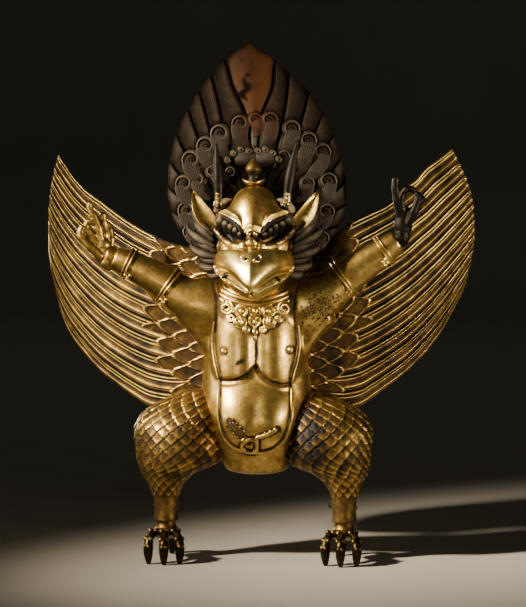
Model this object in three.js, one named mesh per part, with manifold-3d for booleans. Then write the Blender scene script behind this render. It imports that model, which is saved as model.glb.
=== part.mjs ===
// A standing Garuda: a bird-man raised from gilded copper sheet, with cast hands and feet.
// Millimetres, +Z up, the face looks along -Y.
// The origin is under the middle of the figure's box, on the floor.
import * as THREE from "three";
import { mergeVertices } from "three/addons/utils/BufferGeometryUtils.js";
import Module from "manifold-3d";

// Driving dimensions.
const FIGURE_HEIGHT = 700; // claw tips to the tip of the crest
const FIT_GAP = 0.35; // clearance between pieces that touch
const SHEET_WING = 5; // wing, from back to groove
const SHEET_CREST = 9; // crest, from back to groove
const WING_RIDGE = 4.2; // height of a feather over its grooves
const COVERT_RIDGE = 4.6; // height of a covert scale
const LEG_SCALE = 3.4; // height of a scale on the thigh
const LOCK_RIDGE = 7; // height of a lock of hair over its grooves
const CORD_RADIUS = 2.6; // the cord over the chest
const BAND_WIDTH = 7; // armlets and bracelets, along the arm
const BAND_THICKNESS = 3.2;
const BEAD_RADIUS = 3.1;
const HAND_TENON_RADIUS = 8.5;
const HAND_TENON_LENGTH = 16;
const HAND_COLLAR_RADIUS = 12.5; // the round collar of the hand, against the cut end of the wrist
const HAND_COLLAR_LENGTH = 9;
const FOOT_TENON_RADIUS = 10;
const PIN_COVER = 4; // how far the tenon of the foot rises over the middle of its pin
const PIN_RADIUS = 1.6;
const PIN_LENGTH = 37;
const HORN_TENON_RADIUS = 3;
const HORN_TENON_LENGTH = 8;
const TOPKNOT_SEAT_RADIUS = 9;
const TOPKNOT_SEAT_DEPTH = 3;

// The free forms below are drawn for a figure 700 high and follow its height.
const DRAWN_HEIGHT = 700;
const SCALE = FIGURE_HEIGHT / DRAWN_HEIGHT;

const wasm = await Module();
wasm.setup();

// A row of values read at s along a list of rows [s, a, b, ...], smooth from row to row.
function along(rows) {
  return (s) => {
    const last = rows.length - 2;
    let i = 0;
    while (i < last && s > rows[i + 1][0]) i += 1;
    const span = rows[i + 1][0] - rows[i][0];
    const t = THREE.MathUtils.clamp((s - rows[i][0]) / span, 0, 1);
    const before = rows[Math.max(i - 1, 0)];
    const after = rows[Math.min(i + 2, rows.length - 1)];
    return rows[i].slice(1).map((a, k) => {
      const b = rows[i + 1][k + 1];
      const slopeA = (b - before[k + 1]) / (rows[i + 1][0] - before[0]);
      const slopeB = (after[k + 1] - a) / (after[0] - rows[i][0]);
      const t2 = t * t;
      const t3 = t2 * t;
      const hold = (2 * t3 - 3 * t2 + 1) * a + (3 * t2 - 2 * t3) * b;
      return hold + span * ((t3 - 2 * t2 + t) * slopeA + (t3 - t2) * slopeB);
    });
  };
}

// A curve through points [x, y, z].
function curveThrough(points) {
  return new THREE.CatmullRomCurve3(points.map((p) => new THREE.Vector3(...p)), false, "centripetal");
}

// A closed solid from rings of points: the rings follow each other, and flat fans close both ends.
// Each four-sided cell is cut from an even corner to an even corner, so raised odd points make lozenges.
function solidOfRings(rings) {
  const count = rings[0].length;
  const positions = rings.flat().flatMap((p) => [p.x, p.y, p.z]);
  const index = [];
  for (let i = 0; i + 1 < rings.length; i += 1) {
    for (let j = 0; j < count; j += 1) {
      const a = i * count + j;
      const b = i * count + ((j + 1) % count);
      const c = b + count;
      const d = a + count;
      if ((i + j) % 2 === 0) index.push(a, b, c, a, c, d);
      else index.push(a, b, d, b, c, d);
    }
  }
  for (const [ring, flip] of [[0, true], [rings.length - 1, false]]) {
    const middle = new THREE.Vector3();
    rings[ring].forEach((p) => middle.add(p));
    middle.divideScalar(count);
    const centre = positions.length / 3;
    positions.push(middle.x, middle.y, middle.z);
    for (let j = 0; j < count; j += 1) {
      const a = ring * count + j;
      const b = ring * count + ((j + 1) % count);
      if (flip) index.push(centre, b, a);
      else index.push(centre, a, b);
    }
  }
  const geometry = new THREE.BufferGeometry();
  geometry.setAttribute("position", new THREE.Float32BufferAttribute(positions, 3));
  geometry.setIndex(index);
  return solidOf(geometry);
}

// A manifold solid of a closed three.js geometry, turned the right way out.
function solidOf(geometry) {
  const bare = geometry.clone();
  bare.deleteAttribute("normal");
  bare.deleteAttribute("uv");
  const merged = mergeVertices(bare, 1e-3);
  const triVerts = new Uint32Array(merged.index.array);
  const build = () =>
    new wasm.Manifold(
      new wasm.Mesh({ numProp: 3, vertProperties: merged.attributes.position.array, triVerts }),
    );
  const made = build();
  if (made.volume() > 0) return made;
  triVerts.reverse();
  return build();
}

// The union of solids.
function join(solids) {
  return solids.reduce((sum, solid) => sum.add(solid));
}

// The largest body of a solid: a pocket that a union leaves shut inside it is filled.
function filled(solid) {
  return solid.decompose().reduce((large, body) => (body.volume() > large.volume() ? body : large));
}

// A bar along a curve whose radius is read from its length share. It can be flattened in depth to a blade.
function taperedBar(curve, radiusAt, sides, steps, flat = 1) {
  const frames = curve.computeFrenetFrames(steps, false);
  const rings = [];
  for (let i = 0; i <= steps; i += 1) {
    const t = i / steps;
    const centre = curve.getPointAt(t);
    const ring = [];
    for (let j = 0; j < sides; j += 1) {
      const angle = (2 * Math.PI * j) / sides;
      const offset = frames.normals[i].clone().multiplyScalar(Math.cos(angle) * radiusAt(t));
      offset.addScaledVector(frames.binormals[i], Math.sin(angle) * radiusAt(t));
      offset.y *= flat;
      ring.push(centre.clone().add(offset));
    }
    rings.push(ring);
  }
  return solidOfRings(rings);
}

// A ball squashed to three radii, turned by Euler angles and moved to a place.
function ellipsoid(place, radii, across = 8, down = 6, turn = [0, 0, 0]) {
  const ball = new THREE.SphereGeometry(1, across, down);
  const matrix = new THREE.Matrix4().compose(
    new THREE.Vector3(...place),
    new THREE.Quaternion().setFromEuler(new THREE.Euler(...turn)),
    new THREE.Vector3(...radii),
  );
  return solidOf(ball.applyMatrix4(matrix));
}

// A solid of revolution from [radius, height] pairs, stood up along +Z.
function turned(profile, sides) {
  const points = profile.map(([r, z]) => new THREE.Vector2(r, z));
  const lathe = new THREE.LatheGeometry(points, sides);
  return solidOf(lathe.rotateX(Math.PI / 2));
}

// A peg or a hole: a cylinder from one point to another.
function peg(from, to, radius, sides = 8) {
  const a = new THREE.Vector3(...from);
  const b = new THREE.Vector3(...to);
  const rod = new THREE.CylinderGeometry(radius, radius, a.distanceTo(b), sides);
  const turn = new THREE.Quaternion().setFromUnitVectors(
    new THREE.Vector3(0, 1, 0),
    b.clone().sub(a).normalize(),
  );
  rod.applyQuaternion(turn);
  const middle = a.add(b).multiplyScalar(0.5);
  return solidOf(rod.translate(middle.x, middle.y, middle.z));
}

// Trunk.
// Rows of [height, half width, depth in front, depth behind]; the section is a rounded rectangle.
const TRUNK_BASE = 118;
const NECK_SEAT = 396;
const TRUNK_POWER = 2.3;
const trunkAt = along([
  [TRUNK_BASE, 38, 28, 20],
  [130, 46, 38, 26],
  [145, 53, 48, 30],
  [165, 61, 56, 33],
  [190, 68, 59, 35],
  [215, 73, 56, 36],
  [243, 73, 49, 35],
  [268, 70, 44, 34],
  [290, 69, 44, 34],
  [315, 70, 47, 36],
  [340, 67, 49, 37],
  [362, 58, 45, 35],
  [380, 45, 37, 30],
  [NECK_SEAT, 35, 30, 26],
]);
const smooth = THREE.MathUtils.smoothstep;

// Height of the breasts over the plain chest: two mounds that end below in a sharp fold.
function breastRelief(x, z) {
  const mound = Math.exp(-(((Math.abs(x) - 32) / 26) ** 2));
  const fall = smooth(z, 247, 257) * (1 - smooth(z, 284, 338));
  const cleft = 3 * Math.exp(-((x / 7) ** 2)) * smooth(z, 250, 270) * (1 - smooth(z, 296, 316));
  return 8 * mound * fall - cleft;
}

// Depth of the front of the trunk at a place on it.
function trunkFront(x, z) {
  const [half, front] = trunkAt(z);
  const across = Math.min(Math.abs(x / half), 0.98);
  return -front * (1 - across ** TRUNK_POWER) ** (1 / TRUNK_POWER) - breastRelief(x, z);
}

function trunkSolid(grow) {
  const FRONT_STEPS = 14;
  const BACK_STEPS = 4;
  const angles = [];
  for (let i = 0; i < FRONT_STEPS; i += 1) angles.push(-Math.PI / 2 + (Math.PI * i) / FRONT_STEPS);
  for (let i = 0; i < BACK_STEPS; i += 1) angles.push(Math.PI / 2 + (Math.PI * i) / BACK_STEPS);
  const heights = [118, 132, 154, 184, 216, 247, 257, 271, 290, 311, 337, 366, 396];
  const rings = heights.map((z) => {
    const [half, front, back] = trunkAt(z);
    return angles.map((angle) => {
      const side = Math.sign(Math.sin(angle)) * Math.abs(Math.sin(angle)) ** (2 / TRUNK_POWER);
      const fore = Math.sign(Math.cos(angle)) * Math.abs(Math.cos(angle)) ** (2 / TRUNK_POWER);
      const x = side * (half + grow);
      const relief = fore > 0 ? breastRelief(x, z) * smooth(fore, 0, 0.5) : 0;
      const y = fore > 0 ? -fore * (front + grow) - relief : -fore * (back + grow);
      return new THREE.Vector3(x * SCALE, y * SCALE, z * SCALE);
    });
  });
  return solidOfRings(rings);
}

// Arms.
// Centre lines from inside the shoulder to the wrist, for the viewer's left and right.
const ARM_PATH = {
  left: [
    [44, 2, 338], [72, 1, 347], [97, -1, 355.5], [122, -4, 374],
    [150, -7, 389], [173, -8, 401], [191, -8, 408],
  ],
  right: [
    [44, 2, 340], [72, 1, 350], [97, -1, 364], [118, -4, 381],
    [148, -7, 402.5], [171, -8, 418], [190, -9, 432],
  ],
};
// Rows of [share of the arm, half height, half depth].
const armSection = along([
  [0, 44, 30],
  [0.17, 39, 31],
  [0.26, 33.5, 29.5],
  [0.35, 29, 27.5],
  [0.45, 25.5, 25],
  [0.58, 23.5, 23.5],
  [0.76, 21, 20.5],
  [0.88, 18.5, 18],
  [1, 15.5, 15],
]);
const ARM_SIDES = 8;
const SIDES = { left: -1, right: 1 };

function armCurve(name) {
  return curveThrough(ARM_PATH[name].map(([x, y, z]) => [x * SIDES[name] * SCALE, y * SCALE, z * SCALE]));
}

// One section of the arm, grown outwards by a distance.
function armRing(curve, share, grow) {
  const centre = curve.getPointAt(share);
  const forward = curve.getTangentAt(share);
  const up = new THREE.Vector3(-forward.z, 0, forward.x).normalize().multiplyScalar(Math.sign(forward.x));
  const [high, deep] = armSection(share).map((v) => v * SCALE + grow);
  const ring = [];
  for (let i = 0; i < ARM_SIDES; i += 1) {
    const angle = (2 * Math.PI * i) / ARM_SIDES;
    const point = centre.clone().addScaledVector(up, Math.cos(angle) * high);
    point.y -= Math.sin(angle) * deep;
    ring.push(point);
  }
  return ring;
}

function armSolid(name, grow) {
  const curve = armCurve(name);
  const shares = [0, 0.2, 0.33, 0.46, 0.54, 0.72, 0.88, 1];
  return solidOfRings(shares.map((share) => armRing(curve, share, grow)));
}

// The hollow at the wrist that takes the tenon of the hand: where it starts and where it ends.
function wristAxis(name, depth) {
  const curve = armCurve(name);
  const end = curve.getPointAt(1);
  const back = curve.getTangentAt(1).multiplyScalar(-1);
  return [end, back, end.clone().addScaledVector(back, depth)];
}

// The cord over the chest, its knot and the collar, all raised from the trunk.
// Places on the front of the trunk as [distance from the middle, height].
const CORD_LINE = [
  [61, 374], [56, 352], [55.5, 324], [58, 294], [55, 272], [49.5, 250],
  [49, 228], [49, 200], [42, 172.5], [28, 157.5], [10, 151.7],
];
const COLLAR_LINE = [[55, 367], [42, 358], [25, 351.5], [8, 348]];
const CHEST_AXIS = 1.5;
// Jewels below the collar as [distance from the middle, height, radius].
const COLLAR_PAIRS = [[37.8, 341, 10], [17.5, 338, 9], [28, 326, 7.5]];
const COLLAR_MIDDLE = [[0, 337, 6.5], [0, 322, 8], [0, 305, 4.6]];
const JEWEL_RISE = 4.5;

function onChest(x, z, rise = 0) {
  const at = x + CHEST_AXIS;
  return [at * SCALE, trunkFront(at, z) * SCALE - rise, z * SCALE];
}

function raisedCord(line, radius, steps) {
  return taperedBar(curveThrough(line.map(([x, z]) => onChest(x, z))), () => radius, 3, steps);
}

function chestJewel(x, z, radius) {
  return ellipsoid(onChest(x, z), [radius, JEWEL_RISE, radius].map((r) => r * SCALE), 5, 3);
}

function chestOrnament() {
  const solids = [];
  const mirrored = (line) => line.map(([x, z]) => [-x, z]);
  solids.push(raisedCord([...CORD_LINE, ...mirrored(CORD_LINE).reverse()], CORD_RADIUS * 1.3, 18));
  solids.push(raisedCord([...COLLAR_LINE, ...mirrored(COLLAR_LINE).reverse()], CORD_RADIUS * 1.5, 6));
  for (const [x, z, radius] of COLLAR_PAIRS) {
    for (const side of [-1, 1]) {
      solids.push(chestJewel(side * x, z, radius));
    }
  }
  for (const [x, z, radius] of COLLAR_MIDDLE) solids.push(chestJewel(x, z, radius));
  const KNOT_TAILS = [[[-7, 162], [-17, 176], [-31, 193]], [[-7, 162], [8, 173], [21, 181]]];
  for (const tail of KNOT_TAILS) solids.push(raisedCord(tail, CORD_RADIUS * 1.6, 2));
  solids.push(ellipsoid(onChest(-8, 160), [7 * SCALE, 5 * SCALE, 7 * SCALE], 6, 3));
  return join(solids);
}

function torsoSolid() {
  let torso = trunkSolid(0);
  for (const name of ["left", "right"]) {
    torso = torso.add(armSolid(name, 0));
    const [end, back] = wristAxis(name, 0);
    const bottom = end.clone().addScaledVector(back, HAND_TENON_LENGTH + FIT_GAP);
    const mouth = end.clone().addScaledVector(back, -HAND_COLLAR_LENGTH);
    torso = torso.subtract(peg(mouth.toArray(), bottom.toArray(), HAND_TENON_RADIUS + FIT_GAP));
  }
  return filled(torso.add(chestOrnament()));
}

// Everything that the wings, legs and head have to stay clear of.
function torsoClearance() {
  return join([trunkSolid(FIT_GAP / SCALE), armSolid("left", FIT_GAP), armSolid("right", FIT_GAP)]);
}

// Armlets and bracelets.
// Their places as shares of the arm.
const ARMLET_SHARE = 0.5;
const BRACELET_SHARE = 0.875;

function bandSolid(name, share) {
  const curve = armCurve(name);
  const halfShare = BAND_WIDTH / 2 / curve.getLength();
  const profile = [[-1, 0.8], [0, 1.1], [1, 0.8]];
  const outer = profile.map(([s, rise]) => {
    return armRing(curve, share + s * halfShare, FIT_GAP + BAND_THICKNESS * rise);
  });
  let band = solidOfRings(outer);
  const ring = armRing(curve, share, FIT_GAP + BAND_THICKNESS);
  const front = ring[2].clone().lerp(ring[3], 0.5);
  front.y -= BEAD_RADIUS * 0.5;
  const tangent = curve.getTangentAt(share);
  const BEADS = [[0.8, 0.6], [-0.8, 0.4], [0, -0.9]];
  for (const [a, b] of BEADS) {
    const place = front.clone().addScaledVector(tangent, a * BEAD_RADIUS);
    place.z += b * BEAD_RADIUS;
    band = band.add(ellipsoid(place.toArray(), [BEAD_RADIUS, BEAD_RADIUS, BEAD_RADIUS], 4, 2));
  }
  return band.subtract(armSolid(name, FIT_GAP));
}

// Legs.
// Rows of [height, middle across, middle in depth, half width, half depth] for one leg.
const SLEEVE_END = 51;
const legAt = along([
  [SLEEVE_END, 121, -2, 17.2, 17.4],
  [60, 121, -2, 16.3, 16.5],
  [72, 121, -2, 16.2, 16.5],
  [84, 121, -2, 16.8, 17.6],
  [96, 121, -3, 19.5, 20.5],
  [108, 119.5, -5, 25.5, 26],
  [118, 115.5, -7, 34, 31],
  [126, 107, -9, 45, 36],
  [136, 100, -10, 54, 40],
  [150, 97, -10, 58.5, 43],
  [166, 96.5, -9, 61, 44],
  [182, 96, -8, 60.5, 43],
  [196, 92, -6, 57, 39],
  [208, 85, -4, 50, 33],
  [219, 75, -1, 39, 26],
  [229, 67, 2, 26, 19],
]);
const LEG_COLUMNS = 24;
const SCALE_LOW = 88; // the scales end here, over the plain sleeve
const SCALE_FULL = 120; // from here up they stand at their full height
const PIN_HEIGHT = 71;
const PIN_TAIL = 7;

// The middle of the pin above the floor, and the top of the foot's tenon, which hides just over it.
function pinLevel() {
  return PIN_HEIGHT * SCALE;
}

function tenonTop() {
  return pinLevel() + PIN_RADIUS + PIN_COVER;
}

// The middle of one leg at a height: both legs stand a little towards the viewer's left, more so above.
function legMiddle(name, z) {
  const [middle, depth] = legAt(z);
  const drift = -2 - 2 * smooth(z, 70, 160);
  return [SIDES[name] * middle + drift, depth].map((v) => v * SCALE);
}

function legRing(z, name, relief) {
  const [x, y] = legMiddle(name, z);
  const [, , half, deep] = legAt(z);
  const ring = [];
  for (let j = 0; j < LEG_COLUMNS; j += 1) {
    const angle = (2 * Math.PI * j) / LEG_COLUMNS;
    const across = SIDES[name] * Math.cos(angle) * (half + relief(j)) * SCALE;
    const forth = Math.sin(angle) * (deep + relief(j)) * SCALE;
    ring.push(new THREE.Vector3(x + across, y + forth, z * SCALE));
  }
  return ring;
}

function legSolid(name, clearance) {
  const heights = [SLEEVE_END, 84, 93, 102, 111, 120, 130, 142, 155, 169, 183, 197, 209, 220, 229];
  const rings = heights.map((z, i) => {
    const wrapped = z > SCALE_LOW;
    const size = LEG_SCALE * THREE.MathUtils.lerp(0.4, 1, smooth(z, SCALE_LOW, SCALE_FULL));
    return legRing(z, name, (j) => (wrapped && (i + j) % 2 === 1 ? size : 0));
  });
  const [x, y] = legMiddle(name, SLEEVE_END);
  const mouth = SLEEVE_END * SCALE - FIT_GAP;
  const socket = peg([x, y, mouth], [x, y, tenonTop() + FIT_GAP], FOOT_TENON_RADIUS + FIT_GAP);
  return solidOfRings(rings).subtract(clearance).subtract(socket).subtract(pinSolid(name, FIT_GAP));
}

// The pin through the sleeve and the tenon of the foot. The viewer's right one is a bent wire.
function pinSolid(name, grow) {
  const [x, y] = legMiddle(name, PIN_HEIGHT);
  const z = pinLevel();
  const reach = PIN_LENGTH / 2 + (grow > 0 ? 2 : 0);
  const pin = peg([x + reach, y, z], [x - reach, y, z], PIN_RADIUS + grow, 6);
  if (name === "left" || grow > 0) return pin;
  const end = x - reach;
  const bend = [[end + PIN_RADIUS, y, z], [end - PIN_RADIUS, y, z + 2], [end - 2.5, y, z + PIN_TAIL]];
  const tail = curveThrough(bend);
  return pin.add(taperedBar(tail, () => PIN_RADIUS * 0.8, 4, 2));
}

// Feet.
// Toes as [way out from the ankle, way forward] of the claw tip; the last one points back.
const TOES = [[18, -50], [-3, -56], [-23, -47], [-4, 34]];
// Each toe and its claw as rows of [share of the way forward, height], with knuckles where the girth swells.
const TOE_LINE = [[0.28, 32], [0.5, 38], [0.66, 30], [0.8, 32], [0.93, 20], [1, -3]];
const TOE_GIRTH = along([[0, 7], [0.2, 9.4], [0.4, 6.6], [0.6, 8.6], [0.8, 5], [1, 2.2]]);

function footSolid(name) {
  const [x, y] = legMiddle(name, SLEEVE_END);
  const top = SLEEVE_END * SCALE - FIT_GAP;
  const profile = [[0, 0], [16, 0], [14.5, -6], [20, -12], [21, -19], [14, -25], [0, -26]];
  const bell = turned(profile.map(([r, h]) => [r * SCALE, top + h * SCALE]), 8).translate([x, y, 0]);
  const tenon = peg([x, y, top - FOOT_TENON_RADIUS], [x, y, tenonTop()], FOOT_TENON_RADIUS);
  const toes = TOES.map(([out, forward]) => {
    const points = TOE_LINE.map(([share, z]) => {
      return [x + SIDES[name] * out * share * SCALE, y + forward * share * SCALE, z * SCALE];
    });
    return taperedBar(curveThrough(points), (t) => TOE_GIRTH(t)[0] * SCALE, 4, 5);
  });
  const floor = new THREE.BoxGeometry(200, 200, 20).translate(x, y, -10);
  return join([bell, tenon, ...toes]).subtract(solidOf(floor)).subtract(pinSolid(name, FIT_GAP));
}

// Hands: the forefinger is raised and the thumb meets a bent finger.
// Each finger is a line of [way out, depth, height] with its radius; the palm is a row of balls.
const HANDS = {
  left: {
    palm: [[[202, -9, 408], [11, 9, 11]], [[207, -9, 419], [10, 8, 12]]],
    fingers: [
      [[[208, -10, 424], [211, -11, 443], [214, -12, 458], [222, -13, 472], [220, -13, 481]], 3.6],
      [[[210, -14, 413], [222, -17, 421], [231, -18, 432], [236, -17, 443], [231, -16, 450]], 4],
      [[[230, -13, 452], [222, -14, 455], [215, -12, 449], [210, -10, 436]], 3.7],
      [[[205, -4, 424], [205, -3, 441], [207, -2, 456], [207, -3, 471]], 3.8],
    ],
  },
  right: {
    palm: [[[196, -9, 442], [10, 9, 12]], [[197, -10, 461], [10, 8, 14]]],
    fingers: [
      [[[193, -11, 466], [189, -12, 486], [186, -13, 505], [186, -13, 518]], 4.3],
      [[[201, -13, 455], [207, -16, 467], [212, -17, 480], [217, -16, 493], [212, -15, 500]], 4],
      [[[212, -14, 499], [203, -13, 501], [196, -12, 495], [194, -10, 482]], 3.8],
      [[[200, -6, 466], [210, -4, 476], [219, -3, 485], [226, -3, 492]], 3.6],
    ],
  },
};

function handSolid(name) {
  const side = SIDES[name];
  const place = ([x, y, z]) => [side * x * SCALE, y * SCALE, z * SCALE];
  const { palm, fingers } = HANDS[name];
  const solids = palm.map(([middle, radii]) => ellipsoid(place(middle), radii.map((r) => r * SCALE), 6, 3));
  for (const [line, radius] of fingers) {
    const girth = (t) => radius * SCALE * (1.3 - 0.3 * t);
    solids.push(taperedBar(curveThrough(line.map(place)), girth, 4, 2));
  }
  const [end, back, bottom] = wristAxis(name, HAND_TENON_LENGTH);
  const start = end.clone().addScaledVector(back, -HAND_COLLAR_LENGTH);
  const collar = end.clone().addScaledVector(back, -FIT_GAP);
  solids.push(peg(start.toArray(), bottom.toArray(), HAND_TENON_RADIUS));
  solids.push(peg(start.toArray(), collar.toArray(), HAND_COLLAR_RADIUS));
  const deeper = bottom.clone().addScaledVector(back, FIT_GAP);
  const hollow = peg(start.toArray(), deeper.toArray(), HAND_TENON_RADIUS + FIT_GAP);
  return join(solids).subtract(armSolid(name, FIT_GAP).subtract(hollow));
}

// Head.
const HEAD_MIDDLE = 1;

// Lines of the beak from its root to its tip: [share, across, depth, height].
const BEAK_RIDGE = along([
  [0, 0, -99, 424],
  [0.15, 0, -112, 413],
  [0.35, 0, -121, 400],
  [0.6, 0, -126, 388],
  [0.82, 0, -127, 377],
  [1, 0, -123, 367],
]);
const BEAK_EDGE = along([
  [0, 42, -76, 423],
  [0.15, 52.5, -63, 412],
  [0.35, 51, -60, 396],
  [0.6, 31, -84, 388],
  [0.82, 12, -108, 376],
  [1, 2, -120, 368],
]);
const JAW_EDGE = along([
  [0, 50, -52, 394],
  [0.35, 41, -66, 385],
  [0.7, 22, -88, 375],
  [1, 4, -108, 366],
]);
const JAW_KEEL = along([
  [0, 0, -40, 372],
  [0.35, 0, -70, 362],
  [0.7, 0, -90, 356],
  [1, 0, -104, 357],
]);

const BEAK_SHARES = [0, 0.15, 0.35, 0.6, 0.82, 1];
const JAW_SHARES = [0, 0.35, 0.7, 1];
const BEAK_WALL = 10;
const JAW_WALL = 8;

// How far a section stands up at a share of the way from its middle to its edge: two flat cheeks
// that meet in a keel for the upper beak, and a round bowl for the jaw.
const keeled = (out) => 1 - 0.35 * out - 0.65 * out ** 3.5;
const bowled = (out) => (1 - out * out) ** 0.5;

// A half ring from the edge on one side, over the ridge, to the other edge; closed below by a flatter return.
function beakRing(edge, ridge, section, thickness) {
  const [ex, ey, ez] = edge;
  const [, ry, rz] = ridge;
  const points = [];
  const ARC = 6;
  for (let i = 0; i <= ARC; i += 1) {
    const out = Math.sin(-Math.PI / 2 + (Math.PI * i) / ARC);
    const lift = section(Math.abs(out));
    points.push([out * ex, ey + (ry - ey) * lift, ez + (rz - ez) * lift]);
  }
  const UNDER = 2;
  for (let i = 1; i < UNDER; i += 1) {
    const out = 1 - (2 * i) / UNDER;
    const lift = (1 - out * out) * 0.5;
    points.push([out * ex, ey + thickness * (1 - lift), ez + (rz - ez) * lift * 0.2]);
  }
  return points.map(([x, y, z]) => new THREE.Vector3((x + HEAD_MIDDLE) * SCALE, y * SCALE, z * SCALE));
}

function onHead(x, y, z) {
  return [(x + HEAD_MIDDLE) * SCALE, y * SCALE, z * SCALE];
}

// A tapered bar on one side of the head.
function headBar(side, line, girth, steps, flat = 1) {
  const points = line.map(([x, y, z]) => onHead(side * x, y, z));
  return taperedBar(curveThrough(points), (t) => girth(t) * SCALE, 4, steps, flat);
}

// Skull, cheeks, temples, neck and the tufts behind the cheeks, grown outwards by a distance.
function headCore(grow) {
  const grown = (...radii) => radii.map((r) => r * SCALE + grow);
  const solids = [
    ellipsoid(onHead(0, -46, 448), grown(37, 41, 56), 10, 6),
    ellipsoid(onHead(0, -42, 424), grown(52, 34, 36), 8, 4),
  ];
  const [half, front, back] = trunkAt(NECK_SEAT);
  const NECK_SIDES = 8;
  const neck = [NECK_SEAT, 430].map((z) => {
    const ring = [];
    for (let j = 0; j < NECK_SIDES; j += 1) {
      const angle = (2 * Math.PI * j) / NECK_SIDES;
      const fore = -Math.cos(angle);
      const deep = (fore < 0 ? front : back) + grow / SCALE;
      const lean = (z - NECK_SEAT) * 0.6;
      ring.push(new THREE.Vector3(...onHead((half + grow / SCALE) * Math.sin(angle), fore * deep - lean, z)));
    }
    return ring;
  });
  solids.push(solidOfRings(neck));
  const TUFTS = [
    [[40, -46, 436], [60, -32, 440], [74, -16, 452]],
    [[42, -46, 416], [60, -30, 416], [74, -14, 428]],
  ];
  for (const side of [-1, 1]) {
    solids.push(ellipsoid(onHead(side * 39, -50, 466), grown(14, 12, 15), 5, 4));
    for (const tuft of TUFTS) solids.push(headBar(side, tuft, (t) => 13 - 6 * t + grow / SCALE, 2));
  }
  return join(solids);
}

// Brow and upper lid of each eye as a place and three radii, with the turns that sweep them up and back.
const BROW = [[26, -70, 459], [28, 15, 12]];
const LID = [[30, -70, 443], [24, 11, 7]];
const BROW_RISE = 0.5;
const BROW_SWEEP = 0.5;
const NOSE_PLACE = [0, -90, 431];
const NOSE_RADIUS = 8;
const NECK_CUT = [140, 60, 40]; // block that cuts the neck off flat over the trunk

function headSolid() {
  const solids = [headCore(0)];
  const upper = BEAK_SHARES.map((s) => beakRing(BEAK_EDGE(s), BEAK_RIDGE(s), keeled, BEAK_WALL));
  const lower = JAW_SHARES.map((s) => beakRing(JAW_EDGE(s), JAW_KEEL(s), bowled, JAW_WALL));
  solids.push(solidOfRings(upper), solidOfRings(lower));
  for (const side of [-1, 1]) {
    for (const [place, radii] of [BROW, LID]) {
      const [x, y, z] = place;
      const turn = [0, -side * BROW_RISE, side * BROW_SWEEP, "ZYX"];
      solids.push(ellipsoid(onHead(side * x, y, z), radii.map((r) => r * SCALE), 8, 4, turn));
    }
    const nostril = [[7, -114, 409], [11, -110, 412], [8, -110, 416], [4, -112, 413]];
    solids.push(headBar(side, nostril, () => 2.8, 2));
    const ear = [[46, -40, 442], [62, -34, 456], [74, -29, 474], [79, -26, 492]];
    solids.push(headBar(side, ear, (t) => 2 + 10 * Math.sin(Math.PI * (0.2 + 0.77 * t)), 3, 0.45));
  }
  solids.push(ellipsoid(onHead(...NOSE_PLACE), [1, 1, 1].map((share) => share * NOSE_RADIUS * SCALE), 6, 3));
  let head = join(solids);
  const [wide, deep, high] = NECK_CUT;
  const below = new THREE.BoxGeometry(wide, deep, high);
  head = head.subtract(solidOf(below.translate(0, 0, NECK_SEAT * SCALE + FIT_GAP - high / 2)));
  for (const name of ["left", "right"]) head = head.subtract(hornSeat(name, FIT_GAP));
  return head.subtract(topknotSeat(FIT_GAP)).subtract(torsoClearance());
}

// Horns.
// Lines from the temple to the tip; the viewer's left stands straighter.
const HORN_PATH = {
  left: [[46, -52, 482], [46.8, -50, 506], [48.5, -47, 532], [50.5, -43, 561]],
  right: [[43.5, -52, 482], [46, -51, 504], [51, -48, 534], [58, -43, 566]],
};

function hornLine(name) {
  return HORN_PATH[name].map(([x, y, z]) => [SIDES[name] * x * SCALE, y * SCALE, z * SCALE]);
}

// The round hole in the temple, or the peg that stands in it.
function hornSeat(name, grow) {
  const [x, y, z] = hornLine(name)[0];
  return peg([x, y, z - HORN_TENON_LENGTH - grow], [x, y, z + 2], HORN_TENON_RADIUS + grow, 8);
}

function hornSolid(name, head) {
  const girth = along([[0, 5.4], [0.15, 5.6], [0.38, 7], [0.6, 6], [0.85, 3.4], [1, 1.4]]);
  const horn = taperedBar(curveThrough(hornLine(name)), (t) => girth(t)[0] * SCALE, 6, 4);
  return horn.subtract(head).add(hornSeat(name, 0));
}

// Topknot: a flared ring and a pointed jewel on the crown of the head.
const TOPKNOT_PLACE = [-1, -40, 503];

function topknotSeat(grow) {
  const [x, y, z] = TOPKNOT_PLACE.map((v) => v * SCALE);
  return peg([x, y, z - TOPKNOT_SEAT_DEPTH - grow], [x, y, z + 2], TOPKNOT_SEAT_RADIUS + grow, 8);
}

function topknotSolid() {
  const [x, y, z] = TOPKNOT_PLACE.map((v) => v * SCALE);
  const profile = [[0, 1], [9, 1], [14, 6], [14.5, 11], [7.5, 14], [7, 18], [10.5, 22], [8.5, 30], [0, 40]];
  const jewel = turned(profile.map(([r, h]) => [r * SCALE, h * SCALE]), 8).translate([x, y, z]);
  return jewel.add(topknotSeat(0));
}

// Crest.
// Half of the leaf's outline, from the cheek up to the tip, as [way out, height].
const CREST_OUTLINE = [
  [65, 397], [79, 412], [92, 427], [106, 445], [116, 465], [121, 487], [121, 513],
  [117, 540], [108.5, 571], [96.5, 598], [80.5, 625], [55.5, 655], [26, 682], [0, 700],
];
const CREST_CENTRE = [0, 456];
const CREST_CORE = [9, 13]; // the inner ends of the locks lie on this oval behind the skull
const CREST_COLUMNS = 26;

// Sideways drift of the crest towards the viewer's left as it rises.
function crestDrift(z) {
  return -5 * smooth(z, 430, 600) - 10 * smooth(z, 600, 720);
}

// Depth of the crest: a spine that leans back above a height, with the sides swept behind it.
const CREST_FRONT = -3;
const CREST_LEAN = 44;
const CREST_LEAN_FROM = 450;
const CREST_LEAN_RUN = 250;
const CREST_SWEEP = 0.0021; // depth for each square millimetre of the way out

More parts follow.
